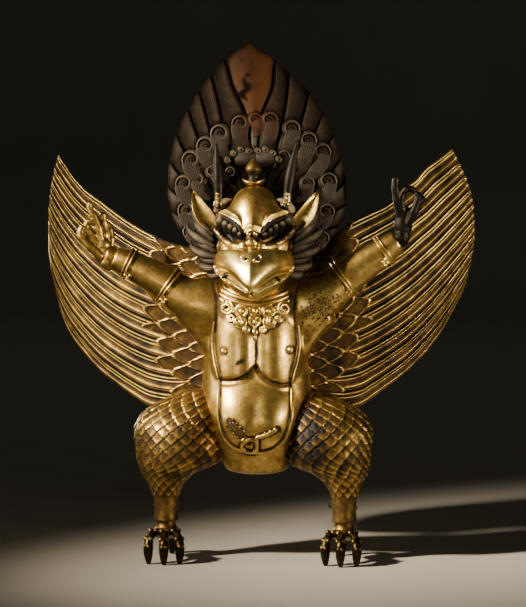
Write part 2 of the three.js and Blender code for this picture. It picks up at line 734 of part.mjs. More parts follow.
function crestDepth(x, z) {
  const lean = CREST_LEAN * Math.max(0, (z - CREST_LEAN_FROM) / CREST_LEAN_RUN) ** 1.5;
  return CREST_FRONT + lean + CREST_SWEEP * x * x;
}

function crestSolid(clearance) {
  const half = CREST_OUTLINE.map(([x, z]) => [x, 0, z]);
  const outline = curveThrough(half);
  const FRONT = [0, 0.35, 0.68, 1];
  const BACK = [1, 0.5, 0];
  const rings = [];
  for (let i = 0; i <= CREST_COLUMNS; i += 1) {
    const way = (2 * i) / CREST_COLUMNS - 1;
    const offset = Math.abs(i - CREST_COLUMNS / 2);
    const outer = outline.getPointAt(1 - Math.abs(way));
    const sign = Math.sign(way);
    const turn = Math.PI * 0.86 * Math.abs(way);
    const inner = [Math.sin(turn) * CREST_CORE[0], CREST_CENTRE[1] + Math.cos(turn) * CREST_CORE[1]];
    const raised = offset < 3 ? 0.7 : (offset + 1) % 2;
    const place = (share, rise) => {
      const x = sign * (inner[0] + (outer.x - inner[0]) * share);
      const z = inner[1] + (outer.z - inner[1]) * share;
      return new THREE.Vector3((x + crestDrift(z)) * SCALE, crestDepth(x, z) * SCALE - rise, z * SCALE);
    };
    const ring = FRONT.map((share) => place(share, raised * LOCK_RIDGE * smooth(share, 0.1, 0.5)));
    BACK.forEach((share) => ring.push(place(share, -SHEET_CREST)));
    rings.push(ring);
  }
  return join([solidOfRings(rings), ...crestCurls()]).subtract(clearance);
}

// Scrolled ends of the inner locks as [way out, height, radius]: one in the middle, then pairs.
const MIDDLE_CURL = [0, 597, 11];
const CURL_PAIRS = [
  [20, 591, 11], [47, 579, 12.5], [70, 563, 12.5], [89, 542, 12.5],
  [98, 509, 12.5], [94, 472, 11.5], [88, 441, 10], [42, 534, 13],
];

// A drop-shaped boss with a hollow in its round end; its tail points to the middle of the head.
function curlSolid(x, z, radius) {
  const SPOKES = 5;
  const angle = Math.atan2(CREST_CENTRE[1] + 10 - z, -x);
  const LAYERS = [[1.1, 4, 2.2], [0.85, -8.5, 1.6], [0.3, -4.5, 0]];
  const rings = LAYERS.map(([share, forward, tail]) => {
    const ring = [];
    for (let j = 0; j < SPOKES; j += 1) {
      const turn = (2 * Math.PI * j) / SPOKES;
      const reach = share * radius * (1 + tail * Math.max(0, Math.cos(turn)) ** 6);
      const px = x + Math.cos(angle + turn) * reach;
      const pz = z + Math.sin(angle + turn) * reach;
      const y = crestDepth(px, pz) + forward;
      ring.push(new THREE.Vector3((px + crestDrift(pz)) * SCALE, y * SCALE - LOCK_RIDGE * 0.4, pz * SCALE));
    }
    return ring;
  });
  return solidOfRings(rings);
}

function crestCurls() {
  const curls = [curlSolid(...MIDDLE_CURL)];
  for (const [x, z, radius] of CURL_PAIRS) {
    curls.push(curlSolid(x, z, radius), curlSolid(-x, z, radius));
  }
  return curls;
}

// Wings.
// Edges of each wing as [way out, height]: leading edge from the shoulder to the tip, outer edge from the
// tip down, and trailing edge from the hip to where the outer edge ends. The hammered pair is uneven.
const WING_EDGES = {
  left: {
    top: [
      [30, 390], [87, 417], [122, 427], [151, 439], [180, 455],
      [201, 469], [223, 485], [241, 497], [259, 515], [274, 535], [284, 549],
    ],
    end: [[284, 549], [292, 519], [296.5, 484], [298, 442], [297, 400], [291, 365]],
    bottom: [
      [30, 226], [80, 207], [115, 196], [151, 198], [167, 206], [195, 224],
      [224, 245], [246, 268], [268, 296], [282.5, 330], [291, 365],
    ],
  },
  right: {
    top: [
      [30, 388], [71, 411], [111, 444], [124, 455], [151, 468], [179, 482],
      [194, 500], [213, 513], [227, 529], [247, 544], [263, 557],
    ],
    end: [[263, 557], [275, 533], [286, 506], [293, 478], [295.7, 437], [290, 395], [281, 361]],
    bottom: [
      [30, 226], [80, 209], [112, 198], [139, 201], [154, 211], [173, 225],
      [200, 245], [227, 272], [248, 299], [264, 327], [281, 361],
    ],
  },
};
const WING_ROOT = 30;
const WING_DEPTH = 28; // depth of the wing at its root
const WING_SWEEP = 0.27; // how far it goes back for each millimetre outwards
const WING_CAMBER = 9;
const FEATHERS = 10;
const WING_BACK_STEPS = 2;
// Share of each feather that the coverts hide, from the leading to the trailing edge.
const covertEnd = along([[0, 0.44], [0.4, 0.44], [0.7, 0.36], [0.9, 0.22], [1, 0.14]]);

function wingSolid(name, clearance) {
  const side = SIDES[name];
  const flat = (line) => curveThrough(line.map(([x, z]) => [x, 0, z]));
  const top = flat(WING_EDGES[name].top);
  const end = flat(WING_EDGES[name].end);
  const bottom = flat(WING_EDGES[name].bottom);
  const root = flat([WING_EDGES[name].top[0], WING_EDGES[name].bottom[0]]);
  const corners = [top.getPointAt(0), top.getPointAt(1), bottom.getPointAt(0), bottom.getPointAt(1)];
  const place = (u, t, rise) => {
    const p = top.getPointAt(u).multiplyScalar(1 - t).addScaledVector(bottom.getPointAt(u), t);
    p.addScaledVector(root.getPointAt(t), 1 - u).addScaledVector(end.getPointAt(t), u);
    p.addScaledVector(corners[0], -(1 - u) * (1 - t)).addScaledVector(corners[1], -u * (1 - t));
    p.addScaledVector(corners[2], -(1 - u) * t).addScaledVector(corners[3], -u * t);
    const camber = WING_CAMBER * Math.sin(Math.PI * t) * smooth(u, 0.2, 0.6);
    const y = WING_DEPTH + WING_SWEEP * Math.max(0, p.x - WING_ROOT) - camber;
    return new THREE.Vector3(side * p.x * SCALE, y * SCALE - rise, p.z * SCALE);
  };
  const rows = [0, 0.09, 0.145, 0.2, 0.255, 0.31, 0.365, 0.42, 0.5, 0.62, 0.75, 0.88, 1];
  const rings = rows.map((u, i) => {
    const ring = [];
    for (let j = 0; j <= 2 * FEATHERS; j += 1) {
      const t = j / (2 * FEATHERS);
      const edge = j === 0 || j === 2 * FEATHERS;
      const covert = u < covertEnd(t)[0];
      const raised = covert ? COVERT_RIDGE * ((i + j) % 2) : WING_RIDGE * (j % 2);
      ring.push(place(u, t, edge ? WING_RIDGE * 0.5 : raised));
    }
    for (let j = 0; j <= WING_BACK_STEPS; j += 1) ring.push(place(u, 1 - j / WING_BACK_STEPS, -SHEET_WING));
    return ring;
  });
  return solidOfRings(rings).subtract(clearance);
}

// Finishes: fire-gilt copper, bare dark copper and painted hair.
const FINISHES = {
  gilt: [0xc79a3f, 0.34, 1],
  worn: [0x9c7434, 0.45, 1],
  dark: [0x2b241d, 0.5, 0.8],
  hair: [0x6a5a4a, 0.7, 0.3],
};

function meshOf(name, solid, finish) {
  const [color, roughness, metalness] = FINISHES[finish];
  const { numProp, vertProperties, triVerts } = solid.getMesh();
  const positions = new Float32Array((vertProperties.length / numProp) * 3);
  for (let i = 0; i < positions.length / 3; i += 1) {
    positions.set(vertProperties.subarray(i * numProp, i * numProp + 3), i * 3);
  }
  const geometry = new THREE.BufferGeometry();
  geometry.setAttribute("position", new THREE.BufferAttribute(positions, 3));
  geometry.setIndex(new THREE.BufferAttribute(triVerts, 1));
  geometry.computeVertexNormals();
  const mesh = new THREE.Mesh(geometry, new THREE.MeshStandardMaterial({ color, roughness, metalness }));
  mesh.name = name;
  return mesh;
}

function garuda() {
  const group = new THREE.Group();
  const put = (name, solid, finish) => group.add(meshOf(name, solid, finish));
  const clearance = torsoClearance();
  const head = headSolid();
  put("torso", torsoSolid(), "gilt");
  put("head", head, "gilt");
  put("crest", crestSolid(clearance.add(headCore(FIT_GAP))), "hair");
  put("topknot", topknotSolid(), "gilt");
  for (const name of ["left", "right"]) {
    put(name + "_leg", legSolid(name, clearance), "gilt");
    put(name + "_foot", footSolid(name), "worn");
    put(name + "_ankle_pin", pinSolid(name, 0), "dark");
    put(name + "_hand", handSolid(name), name === "left" ? "gilt" : "dark");
    put(name + "_wing", wingSolid(name, clearance), "gilt");
    put(name + "_horn", hornSolid(name, headCore(FIT_GAP)), "dark");
    put(name + "_armlet", bandSolid(name, ARMLET_SHARE), "gilt");
    put(name + "_bracelet", bandSolid(name, BRACELET_SHARE), "gilt");
  }
  const box = new THREE.Box3().setFromObject(group);
  const middle = box.getCenter(new THREE.Vector3());
  group.position.set(-middle.x, -middle.y, -box.min.z);
  return group;
}

export default garuda();
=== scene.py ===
"""Looks of a gilded garuda figure: fine mesh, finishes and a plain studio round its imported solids.

Shapes are drawn in millimetres for a figure 700 high, facing -Y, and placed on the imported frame.
"""

import bpy
import numpy as np
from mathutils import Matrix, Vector


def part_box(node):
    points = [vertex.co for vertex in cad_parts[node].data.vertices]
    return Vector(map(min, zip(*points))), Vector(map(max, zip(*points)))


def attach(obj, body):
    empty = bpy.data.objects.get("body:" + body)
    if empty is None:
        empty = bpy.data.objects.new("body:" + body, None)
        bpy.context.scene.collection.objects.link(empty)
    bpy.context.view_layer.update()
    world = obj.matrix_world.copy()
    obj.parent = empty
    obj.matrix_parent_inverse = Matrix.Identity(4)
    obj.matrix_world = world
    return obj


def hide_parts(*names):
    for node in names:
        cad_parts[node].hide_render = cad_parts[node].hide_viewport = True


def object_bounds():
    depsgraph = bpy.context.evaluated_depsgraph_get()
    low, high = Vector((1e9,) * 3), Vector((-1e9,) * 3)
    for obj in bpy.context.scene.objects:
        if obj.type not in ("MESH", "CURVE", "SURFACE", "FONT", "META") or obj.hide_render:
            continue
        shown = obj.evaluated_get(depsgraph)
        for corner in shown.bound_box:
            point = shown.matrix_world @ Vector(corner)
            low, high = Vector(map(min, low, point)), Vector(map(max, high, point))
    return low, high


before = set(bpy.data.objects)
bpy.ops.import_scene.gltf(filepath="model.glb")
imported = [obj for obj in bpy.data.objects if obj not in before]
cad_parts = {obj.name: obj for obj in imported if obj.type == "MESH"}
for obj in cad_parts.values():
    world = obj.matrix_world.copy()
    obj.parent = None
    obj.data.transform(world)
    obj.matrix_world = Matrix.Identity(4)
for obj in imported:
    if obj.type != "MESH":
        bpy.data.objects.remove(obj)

bl_info = {
    "name": "Gilded garuda figure",
    "version": (1, 0, 0),
    "blender": (4, 5, 0),
    "location": "3D View > Sidebar > Garuda",
    "description": "Builds the fine mesh, finishes and studio of a gilded garuda figure",
    "category": "Object",
}

CAD_LOW, CAD_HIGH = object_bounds()
DRAWN_HEIGHT = 700.0
LEFT_PIN_DRAWN = np.array([-123.0, -2.0])  # middle of the viewer's left ankle pin in the drawing
METRES = (CAD_HIGH.z - CAD_LOW.z) / DRAWN_HEIGHT
PIN_LOW, PIN_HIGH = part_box("left_ankle_pin")
PIN_MIDDLE = np.array([(PIN_LOW.x + PIN_HIGH.x) / 2, (PIN_LOW.y + PIN_HIGH.y) / 2])
SHIFT = np.append(PIN_MIDDLE - LEFT_PIN_DRAWN * METRES, 0.0)
SIDES = {"left": -1, "right": 1}  # as the viewer sees them


def placed(points):
    """Points of the drawing, in millimetres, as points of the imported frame, in metres."""
    return np.asarray(points) * METRES + SHIFT


# Curves and number helpers


def smooth(x, low, high):
    """Rises from 0 at low to 1 at high with level ends: 3t^2 - 2t^3."""
    t = np.clip((np.asarray(x, float) - low) / (high - low), 0, 1)
    return t * t * (3 - 2 * t)


def bell(x, width):
    """1 at nought, falling off on both sides as exp(-(x / width)^2)."""
    return np.exp(-((np.asarray(x) / width) ** 2))


def table(rows, at):
    """Columns of a table read at any place of its first column: a cubic from row to row whose slope at a
    row is the rise between its two neighbours over their distance."""
    rows = np.asarray(rows, float)
    knots, values = rows[:, 0], rows[:, 1:]
    order = np.arange(len(knots))
    after, before = np.minimum(order + 1, len(knots) - 1), np.maximum(order - 1, 0)
    slope = (values[after] - values[before]) / (knots[after] - knots[before])[:, None]
    at = np.clip(np.asarray(at, float), knots[0], knots[-1])
    i = np.clip(np.searchsorted(knots, at, side="right") - 1, 0, len(knots) - 2)
    span = (knots[i + 1] - knots[i])[..., None]
    t = (at - knots[i])[..., None] / span
    hold = (2 * t**3 - 3 * t**2 + 1) * values[i] + (3 * t**2 - 2 * t**3) * values[i + 1]
    return hold + span * ((t**3 - 2 * t**2 + t) * slope[i] + (t**3 - t**2) * slope[i + 1])


def circle(steps):
    """Evenly spaced angles once round, from 0."""
    return np.linspace(0, 2 * np.pi, steps, endpoint=False)


def run_along(line):
    """Length of a line up to each of its points: the sum of the steps before it."""
    return np.append(0, np.cumsum(np.linalg.norm(np.diff(line, axis=0), axis=1)))


def curve(points, count):
    """Even samples of the smooth line through points: a cubic over chord length, read at equal lengths."""
    points = np.asarray(points, float)
    chord = run_along(points)
    fine = table(np.column_stack([chord, points]), np.linspace(0, chord[-1], 24 * len(points)))
    run = run_along(fine)
    at = np.linspace(0, run[-1], count)
    return np.stack([np.interp(at, run, fine[:, k]) for k in range(points.shape[1])], axis=-1)


def share_of(line, share):
    """Points of an evenly sampled line at shares of its length."""
    at = np.linspace(0, 1, len(line))
    return np.stack([np.interp(share, at, line[:, k]) for k in range(line.shape[1])], axis=-1)


def mirrored(points, side):
    """Points drawn for the viewer's right, thrown over to a side."""
    return np.asarray(points, float) * np.array([side, 1, 1])


# Bodies: closed grids of points. Every point also carries how it lies on its surface: the way across the
# strands of hair or barbs in millimetres, relief from 0 in a groove to 1 on a ridge, and tint from 0 to 1.
# Relief is also lowered where shade falls and raised where light catches, so it carries painted shade and
# painted highlight.

STRAND, RELIEF, TINT = range(3)


def lie_of(shape, strand=0.0, relief=0.7, tint=0.0):
    """The three surface values of a grid, each a number or an array of its shape."""
    values = [np.broadcast_to(value, shape) for value in (strand, relief, tint)]
    return np.stack(values, axis=-1).astype(float)


def zipped(ring):
    """Faces that shut a ring of an even count: they join its first half to its second half run backwards."""
    half = len(ring) // 2
    j = np.arange(half - 1)
    return np.stack([ring[j], ring[j + 1], ring[2 * half - 2 - j], ring[2 * half - 1 - j]], axis=-1)


def body(rings, lie=None):
    """A closed body from rings of points: neighbours are joined by quads and both ends are zipped shut.
    Faces look outwards: they are turned round when the volume they hold comes out negative."""
    rows, columns = rings.shape[:2]
    index = np.arange(rows * columns).reshape(rows, columns)
    wrap = np.concatenate([index, index[:, :1]], axis=1)
    quads = np.stack([wrap[:-1, :-1], wrap[:-1, 1:], wrap[1:, 1:], wrap[1:, :-1]], axis=-1).reshape(-1, 4)
    quads = np.concatenate([quads, zipped(index[0])[:, ::-1], zipped(index[-1])])
    points = rings.reshape(-1, 3)
    a, b, c, d = (points[quads[:, k]] for k in range(4))
    volume = np.sum(a * np.cross(b, c)) + np.sum(a * np.cross(c, d))
    if volume < 0:
        quads = quads[:, ::-1]
    lie = lie_of((rows, columns)) if lie is None else lie
    return points, quads, lie.reshape(-1, 3)


def stacked(bodies):
    """Several bodies as one list of points, quads and surface values."""
    starts = np.cumsum([0] + [len(b[0]) for b in bodies[:-1]])
    points = np.concatenate([b[0] for b in bodies])
    quads = np.concatenate([b[1] + s for b, s in zip(bodies, starts)])
    return points, quads, np.concatenate([b[2] for b in bodies])


def unit(vectors):
    """The same directions at length 1."""
    return vectors / np.linalg.norm(vectors, axis=-1, keepdims=True)


def axes_along(path, face):
    """For each step of a path the direction across it and the one out of it, towards face: crossed products
    of its tangent, at unit length."""
    tangent = unit(np.gradient(path, axis=0))
    side = unit(np.cross(tangent, np.asarray(face, float)))
    return side, np.cross(side, tangent)


def bar(path, across, deep, sides, face=(0, -1, 0), tint=0.0, ends=0.12, relief=None):
    """A bar carried along a path: at each step an ellipse with a half width, and a half depth towards face.
    Both ends are rounded: the last share of the length shrinks as a quarter circle."""
    count = len(path)
    share = np.linspace(0, 1, count)
    near = np.clip((ends - np.minimum(share, 1 - share)) / max(ends, 1e-6), 0, 1)
    shrink = np.sqrt(np.clip(1 - near**2, 0.004, 1)) if ends else np.ones(count)
    across = np.broadcast_to(across, count) * shrink
    deep = np.broadcast_to(deep, count) * shrink
    side, up = axes_along(path, face)
    turn = circle(sides) - np.pi / 2
    rings = path[:, None] + (across[:, None] * np.cos(turn))[..., None] * side[:, None]
    rings = rings + (deep[:, None] * np.sin(turn))[..., None] * up[:, None]
    # Without a relief given, the bar is painted darker towards its back and lighter towards its front:
    # painted shade.
    shade = 0.3 + 0.5 * (1 + np.sin(turn)) / 2 if relief is None else relief
    return body(rings, lie_of(rings.shape[:2], across[:, None] * np.cos(turn), shade, tint))


def ball(middle, radii, turn=0.0, across=28, down=18, relief=0.7, tint=0.0):
    """An ellipsoid from its two angles, tilted in the plane of the face by turn, in radians."""
    polar = np.linspace(0.02, np.pi - 0.02, down)[:, None]
    round_ = circle(across)
    x = radii[0] * np.sin(polar) * np.cos(round_)
    y = radii[1] * np.sin(polar) * np.sin(round_)
    z = radii[2] * np.cos(polar) * np.ones_like(round_)
    rings = np.stack([x * np.cos(turn) - z * np.sin(turn), y, x * np.sin(turn) + z * np.cos(turn)], axis=-1)
    return body(rings + np.asarray(middle, float), lie_of(rings.shape[:2], relief=relief, tint=tint))


def turned(profile, middle, sides, relief=0.7):
    """A profile of [radius, height] rows spun about an upright axis."""
    profile = np.asarray(profile, float)
    angle = circle(sides)
    radius = np.maximum(profile[:, :1], 0.05)
    rings = np.stack([radius * np.cos(angle), radius * np.sin(angle), profile[:, 1:] + 0 * angle], axis=-1)
    shade = relief if np.isscalar(relief) else np.asarray(relief)[:, None]
    return body(rings + np.asarray(middle, float), lie_of(rings.shape[:2], relief=shade))


def leaf(path, half_width, dish, thick, face, steps, relief):
    """A leaf carried along a path: its front sinks by dish times (1 - w^2) across the width and its back
    runs behind it at a thickness, so that the ring goes out over the front and home over the back."""
    across = np.linspace(-1, 1, steps)
    side, up = axes_along(path, face)
    strand = half_width[:, None] * across
    sink = (dish * (1 - across**2))[:, None] * np.ones((len(path), 1, 1))
    front = path[:, None] + strand[..., None] * side[:, None] - sink * up[:, None]
    back = front - thick * up[:, None]
    rings = np.concatenate([front, back[:, ::-1]], axis=1)
    shade = np.repeat([relief, 0.4], steps)
    strand = np.concatenate([strand, strand[:, ::-1]], axis=1)
    return body(rings, lie_of(rings.shape[:2], strand, shade))


def sheet_body(front, back, *pairs):
    """A sheet whose back runs home behind its front at every second point. A pair holds one surface value of
    the front and the same of the back: strand, relief and tint."""
    rings = np.concatenate([front, back[:, ::-2]], axis=1)
    values = [np.concatenate([first, last[:, ::-2]], axis=1) for first, last in pairs]
    return body(rings, lie_of(rings.shape[:2], *values))


def tiles(across, along, tip):
    """Overlapping scales on a staggered lattice, as on a roof: across counts widths, along counts rows.
    A scale reaches 1 + (1 - |2x|^tip) rows, and the scale whose row starts first lies on top. Returns, for
    every point: share of the way to the free edge, rows left to that edge, place across from -1 to 1, row."""
    across, along = np.broadcast_arrays(across, along)
    first = np.floor(along) - 1
    found = None
    for row in (first, first + 1):
        x = across + 0.5 * np.mod(row, 2)
        x = 2 * (x - np.round(x))
        reach = 2 - np.abs(x) ** tip
        gone = along - row
        made = np.stack([gone / reach, reach - gone, x, row])
        found = made if found is None else np.where(found[1] > 0, found, made)
    return found


# One skin round several bodies


def fused(bodies, voxel):
    """One skin round overlapping bodies: a voxel remesh of their joined faces, as points and quads."""
    points, quads, _ = stacked(bodies)
    mesh = bpy.data.meshes.new("joined")
    fill_mesh(mesh, points, quads)
    holder = bpy.data.objects.new("joined", mesh)
    bpy.context.scene.collection.objects.link(holder)
    remesh = holder.modifiers.new("Fuse", "REMESH")
    remesh.mode = "VOXEL"
    remesh.voxel_size = voxel
    skin = holder.evaluated_get(bpy.context.evaluated_depsgraph_get()).to_mesh()
    points = np.empty(len(skin.vertices) * 3)
    skin.vertices.foreach_get("co", points)
    corners = np.empty(len(skin.loops), int)
    skin.loops.foreach_get("vertex_index", corners)
    bpy.data.objects.remove(holder)
    bpy.data.meshes.remove(mesh)
    return points.reshape(-1, 3), corners.reshape(-1, 4)


def gathered(places, values, count):
    """For every place from 0 to count the sum of the rows of values that name it, column by column."""
    return np.stack([np.bincount(places, column, count) for column in values.T], axis=-1)


def neighbours_mean(values, quads):
    """For every point the mean of a value over the points that its edges lead to."""
    start, end = quads.ravel(), np.roll(quads, -1, axis=1).ravel()
    count = np.bincount(start, minlength=len(values))
    return gathered(start, values[end], len(values)) / count[:, None]


def relaxed(points, quads, rounds, share, back=0.0):
    """Points drawn towards the mean of their neighbours by a share, which may differ from point to point,
    and pushed back by a second share after each round so that the body keeps its size."""
    share = np.broadcast_to(share, len(points))[:, None]
    for _ in range(rounds):
        points = points + share * (neighbours_mean(points, quads) - points)
        if back:
            points = points - back * (neighbours_mean(points, quads) - points)
    return points


def normals_of(points, quads):
    """Unit normals at the points: the sum of the crossed diagonals of the faces round each."""
    a, b, c, d = (points[quads[:, k]] for k in range(4))
    total = gathered(quads.ravel(), np.repeat(np.cross(c - a, d - b), 4, axis=0), len(points))
    return total / np.maximum(np.linalg.norm(total, axis=1, keepdims=True), 1e-9)


def skin_body(points, quads, gain):
    """A fused skin with its relief read from its form: how far each point stands over its neighbours, so that
    hollows are painted darker as shade and bumps lighter as highlight.
    """
    normals = normals_of(points, quads)
    stand = np.sum((points - neighbours_mean(points, quads)) * normals, axis=1)[:, None]
    for _ in range(3):
        stand = neighbours_mean(stand, quads)
    relief = np.clip(0.66 + gain * stand[:, 0], 0, 1)
    return points, quads, lie_of((len(points),), points[:, 0], relief)


def line_distance(x, z, line):
    """Distance in the plane of the face from each point to a sampled line."""
    nearest = np.full(len(x), 1e9)
    for a in line:
        nearest = np.minimum(nearest, np.hypot(x - a[0], z - a[1]))
    return nearest


# Objects and finishes


def fill_mesh(mesh, points, quads):
    """Puts points and quads into a mesh as whole arrays."""
    mesh.vertices.add(len(points))
    mesh.vertices.foreach_set("co", np.ascontiguousarray(points, np.float32).ravel())
    mesh.loops.add(quads.size)
    mesh.loops.foreach_set("vertex_index", np.ascontiguousarray(quads, np.int32).ravel())
    mesh.polygons.add(len(quads))
    mesh.polygons.foreach_set("loop_start", np.arange(0, quads.size, 4, dtype=np.int32))
    mesh.polygons.foreach_set("use_smooth", np.ones(len(quads), bool))
    mesh.update(calc_edges=True)


def piece(name, bodies, finish, slot, *nodes):
    """One object of the figure from its bodies. It rides on the root and stands for nodes. The slot is not
    used.
    """
    points, quads, lie = stacked(bodies)
    mesh = bpy.data.meshes.new(name)
    fill_mesh(mesh, placed(points), quads)
    values = mesh.attributes.new("lie", "FLOAT_VECTOR", "POINT")
    values.data.foreach_set("vector", lie.astype(np.float32).ravel())
    made = bpy.data.objects.new(name, mesh)
    bpy.context.scene.collection.objects.link(made)
    mesh.materials.append(finish)
    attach(made, "root")
    if nodes:
        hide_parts(*nodes)


def linear(code):
    """Linear red, green and blue of an sRGB hex colour."""
    parts = np.array([int(code[i : i + 2], 16) / 255 for i in (1, 3, 5)])
    return tuple(np.where(parts <= 0.04045, parts / 12.92, ((parts + 0.055) / 1.055) ** 2.4).tolist())


def node(tree, kind, values=None, links=None, stops=None, **settings):
    """Adds a node with its settings, the values of its free sockets, its links and its ramp's stops."""
    made = tree.nodes.new(kind)
    for name, value in settings.items():
        setattr(made, name, value)
    for socket, value in (values or {}).items():
        made.inputs[socket].default_value = value
    for socket, source in (links or {}).items():
        tree.links.new(source, made.inputs[socket])
    if stops:
        elements = made.color_ramp.elements
        while len(elements) < len(stops):
            elements.new(0.5)
        for element, (place, colour) in zip(elements, stops):
            element.position = place
            element.color = (*colour, 1.0)
    return made


def grey(value):
    """A plain value as a ramp's colour."""
    return (value, value, value)


def dimmed(colour, share):
    """A colour at a share of its light."""
    return tuple(share * part for part in colour)


def tones(colours, *names):
    """Colours of the settings, by their names."""
    return [tuple(getattr(colours, name)) for name in names]


def started_finish(name, *clouds):
    """A new material with its tree and shader, and the noise of each cloud fixed to the piece. A cloud has a
    size in millimetres, a detail and a roughness."""
    made = bpy.data.materials.new(name)
    made.use_nodes = True
    tree = made.node_tree
    spot = node(tree, "ShaderNodeTexCoord").outputs["Object"]
    noises = []
    for size, detail, rough in clouds:
        values = {"Scale": 1000 / size, "Detail": detail, "Roughness": rough}
        noises.append(node(tree, "ShaderNodeTexNoise", values, {"Vector": spot}).outputs["Fac"])
    return made, tree, tree.nodes["Principled BSDF"], *noises


def surface_values(tree):
    """Strand, relief and tint, as every point of a piece carries them."""
    lie = node(tree, "ShaderNodeAttribute", attribute_name="lie")
    split = node(tree, "ShaderNodeSeparateXYZ", links={"Vector": lie.outputs["Vector"]})
    return [split.outputs[axis] for axis in "XYZ"]


def weighed(tree, start, layers, less):
    """A value with weighted layers added to it and a constant taken off, held between 0 and 1."""
    for layer, weight in layers:
        start = node(
            tree, "ShaderNodeMath", {1: weight}, {0: layer, 2: start}, operation="MULTIPLY_ADD"
        ).outputs[0]
    rest = node(tree, "ShaderNodeMath", {1: less}, {0: start}, operation="SUBTRACT", use_clamp=True)
    return rest.outputs[0]


def chased_lines(tree, strand, pitch, cloud, astray):
    """Fine lines at a pitch in millimetres: the sine of the way across the strands, led astray by a cloud."""
    shift = node(tree, "ShaderNodeMath", {1: astray}, {0: cloud}, operation="MULTIPLY").outputs[0]
    phase = node(
        tree, "ShaderNodeMath", {1: 2 * np.pi / pitch}, {0: strand, 2: shift}, operation="MULTIPLY_ADD"
    ).outputs[0]
    return node(tree, "ShaderNodeMath", links={0: phase}, operation="SINE").outputs[0]


def roughened(tree, shader, layers):
    """Lays bumps over each other on a shader. A layer has a height, a strength and a depth in millimetres."""
    under = {}
    for height, strength, depth in layers:
        values = {"Strength": strength, "Distance": depth / 1000}
        bump = node(tree, "ShaderNodeBump", values, {"Height": height, **under})
        under = {"Normal": bump.outputs["Normal"]}
    tree.links.new(under["Normal"], shader.inputs["Normal"])


def metal_finish(name, steps, rough, tinted, hammer, pit, pitch=0.0):
    """Metal whose colour goes from its grooves to its ridges in four steps. rough is the roughness of the
    ridges, tinted the filter where the surface's tint is 1, hammer the strength of the hammer marks, pit how
    dark the pits are, and pitch the spacing of chased lines in millimetres."""
    # Rubbed and brown areas some 30 mm wide, clouds of tarnish of 8 mm, pits of 2.4 mm and hammer marks of
    # 11 mm.
    made, tree, shader, patches, clouds, pits, marks = started_finish(
        name, (30, 5.0, 0.6), (8, 5.0, 0.7), (2.4, 3.0, 0.6), (11, 1.0, 0.5)
    )
    strand, relief, tint = surface_values(tree)
    height = weighed(tree, relief, ((patches, 1.0), (clouds, 0.6)), 0.84)
    stops = list(zip((0.06, 0.34, 0.66, 0.98), steps))
    colour = node(tree, "ShaderNodeValToRGB", links={"Fac": height}, stops=stops).outputs["Color"]
    dark = [(0.31, grey(1 - pit)), (0.4, grey(1.0))]
    pitting = node(tree, "ShaderNodeValToRGB", links={"Fac": pits}, stops=dark).outputs["Color"]
    for values, links in (
        ({"B": (*tinted, 1.0)}, {"Factor": tint}),
        ({"Factor": 1.0}, {"B": pitting}),
    ):
        colour = node(
            tree, "ShaderNodeMix", values, {"A": colour, **links}, data_type="RGBA", blend_type="MULTIPLY"
        ).outputs["Result"]
    tree.links.new(colour, shader.inputs["Base Color"])
    shine = [(0.1, grey(0.6)), (0.5, grey(1.0))]
    metallic = node(tree, "ShaderNodeValToRGB", links={"Fac": height}, stops=shine)
    tree.links.new(metallic.outputs["Color"], shader.inputs["Metallic"])
    values = {"From Min": 0.1, "From Max": 0.8, "To Min": rough + 0.24, "To Max": rough}
    worn = node(tree, "ShaderNodeMapRange", values, {"Value": height}).outputs["Result"]
    tree.links.new(weighed(tree, worn, ((clouds, 0.24),), 0.12), shader.inputs["Roughness"])
    layers = [(marks, hammer, 1.2), (pits, 0.4, 0.25)]
    if pitch:
        layers.append((chased_lines(tree, strand, pitch, clouds, 3.0), 0.6, 0.3))
    roughened(tree, shader, layers)
    return made


def fire_gilt_sheet(colours, name, hammer, pitch=0.0):
    # Mercury-gilt copper sheet, beaten and burnished: warm gold on the high places, brown where the gilding
    # is thin and nearly black in the grooves, with pits and shallow hammer marks. The tones follow the
    # relief, so they also carry painted shade and highlight.
    *steps, orange = tones(colours, "gold_recess", "gold_brown", "gold", "gold_bright", "gold_orange")
    return metal_finish(name, steps, 0.32, orange, hammer, 0.6, pitch)


def dark_copper_cast(colours, name):
    # Cast copper that has lost its gilding: blackish brown with a dull shine on the edges.
    dark, edge, orange = tones(colours, "copper_dark", "copper_edge", "gold_orange")
    return metal_finish(name, (dimmed(dark, 0.4), dark, dark, edge), 0.4, orange, 0.3, 0.5)


def worn_gilt_cast(colours, name):
    # Cast copper feet whose gilding is rubbed down to brown, with blackened claws.
    recess, brown, gold, black = tones(colours, "gold_recess", "gold_brown", "gold", "claw_black")
    middle = tuple(0.3 * a + 0.7 * b for a, b in zip(gold, brown))
    return metal_finish(name, (recess, brown, middle, gold), 0.36, black, 0.3, 0.6)


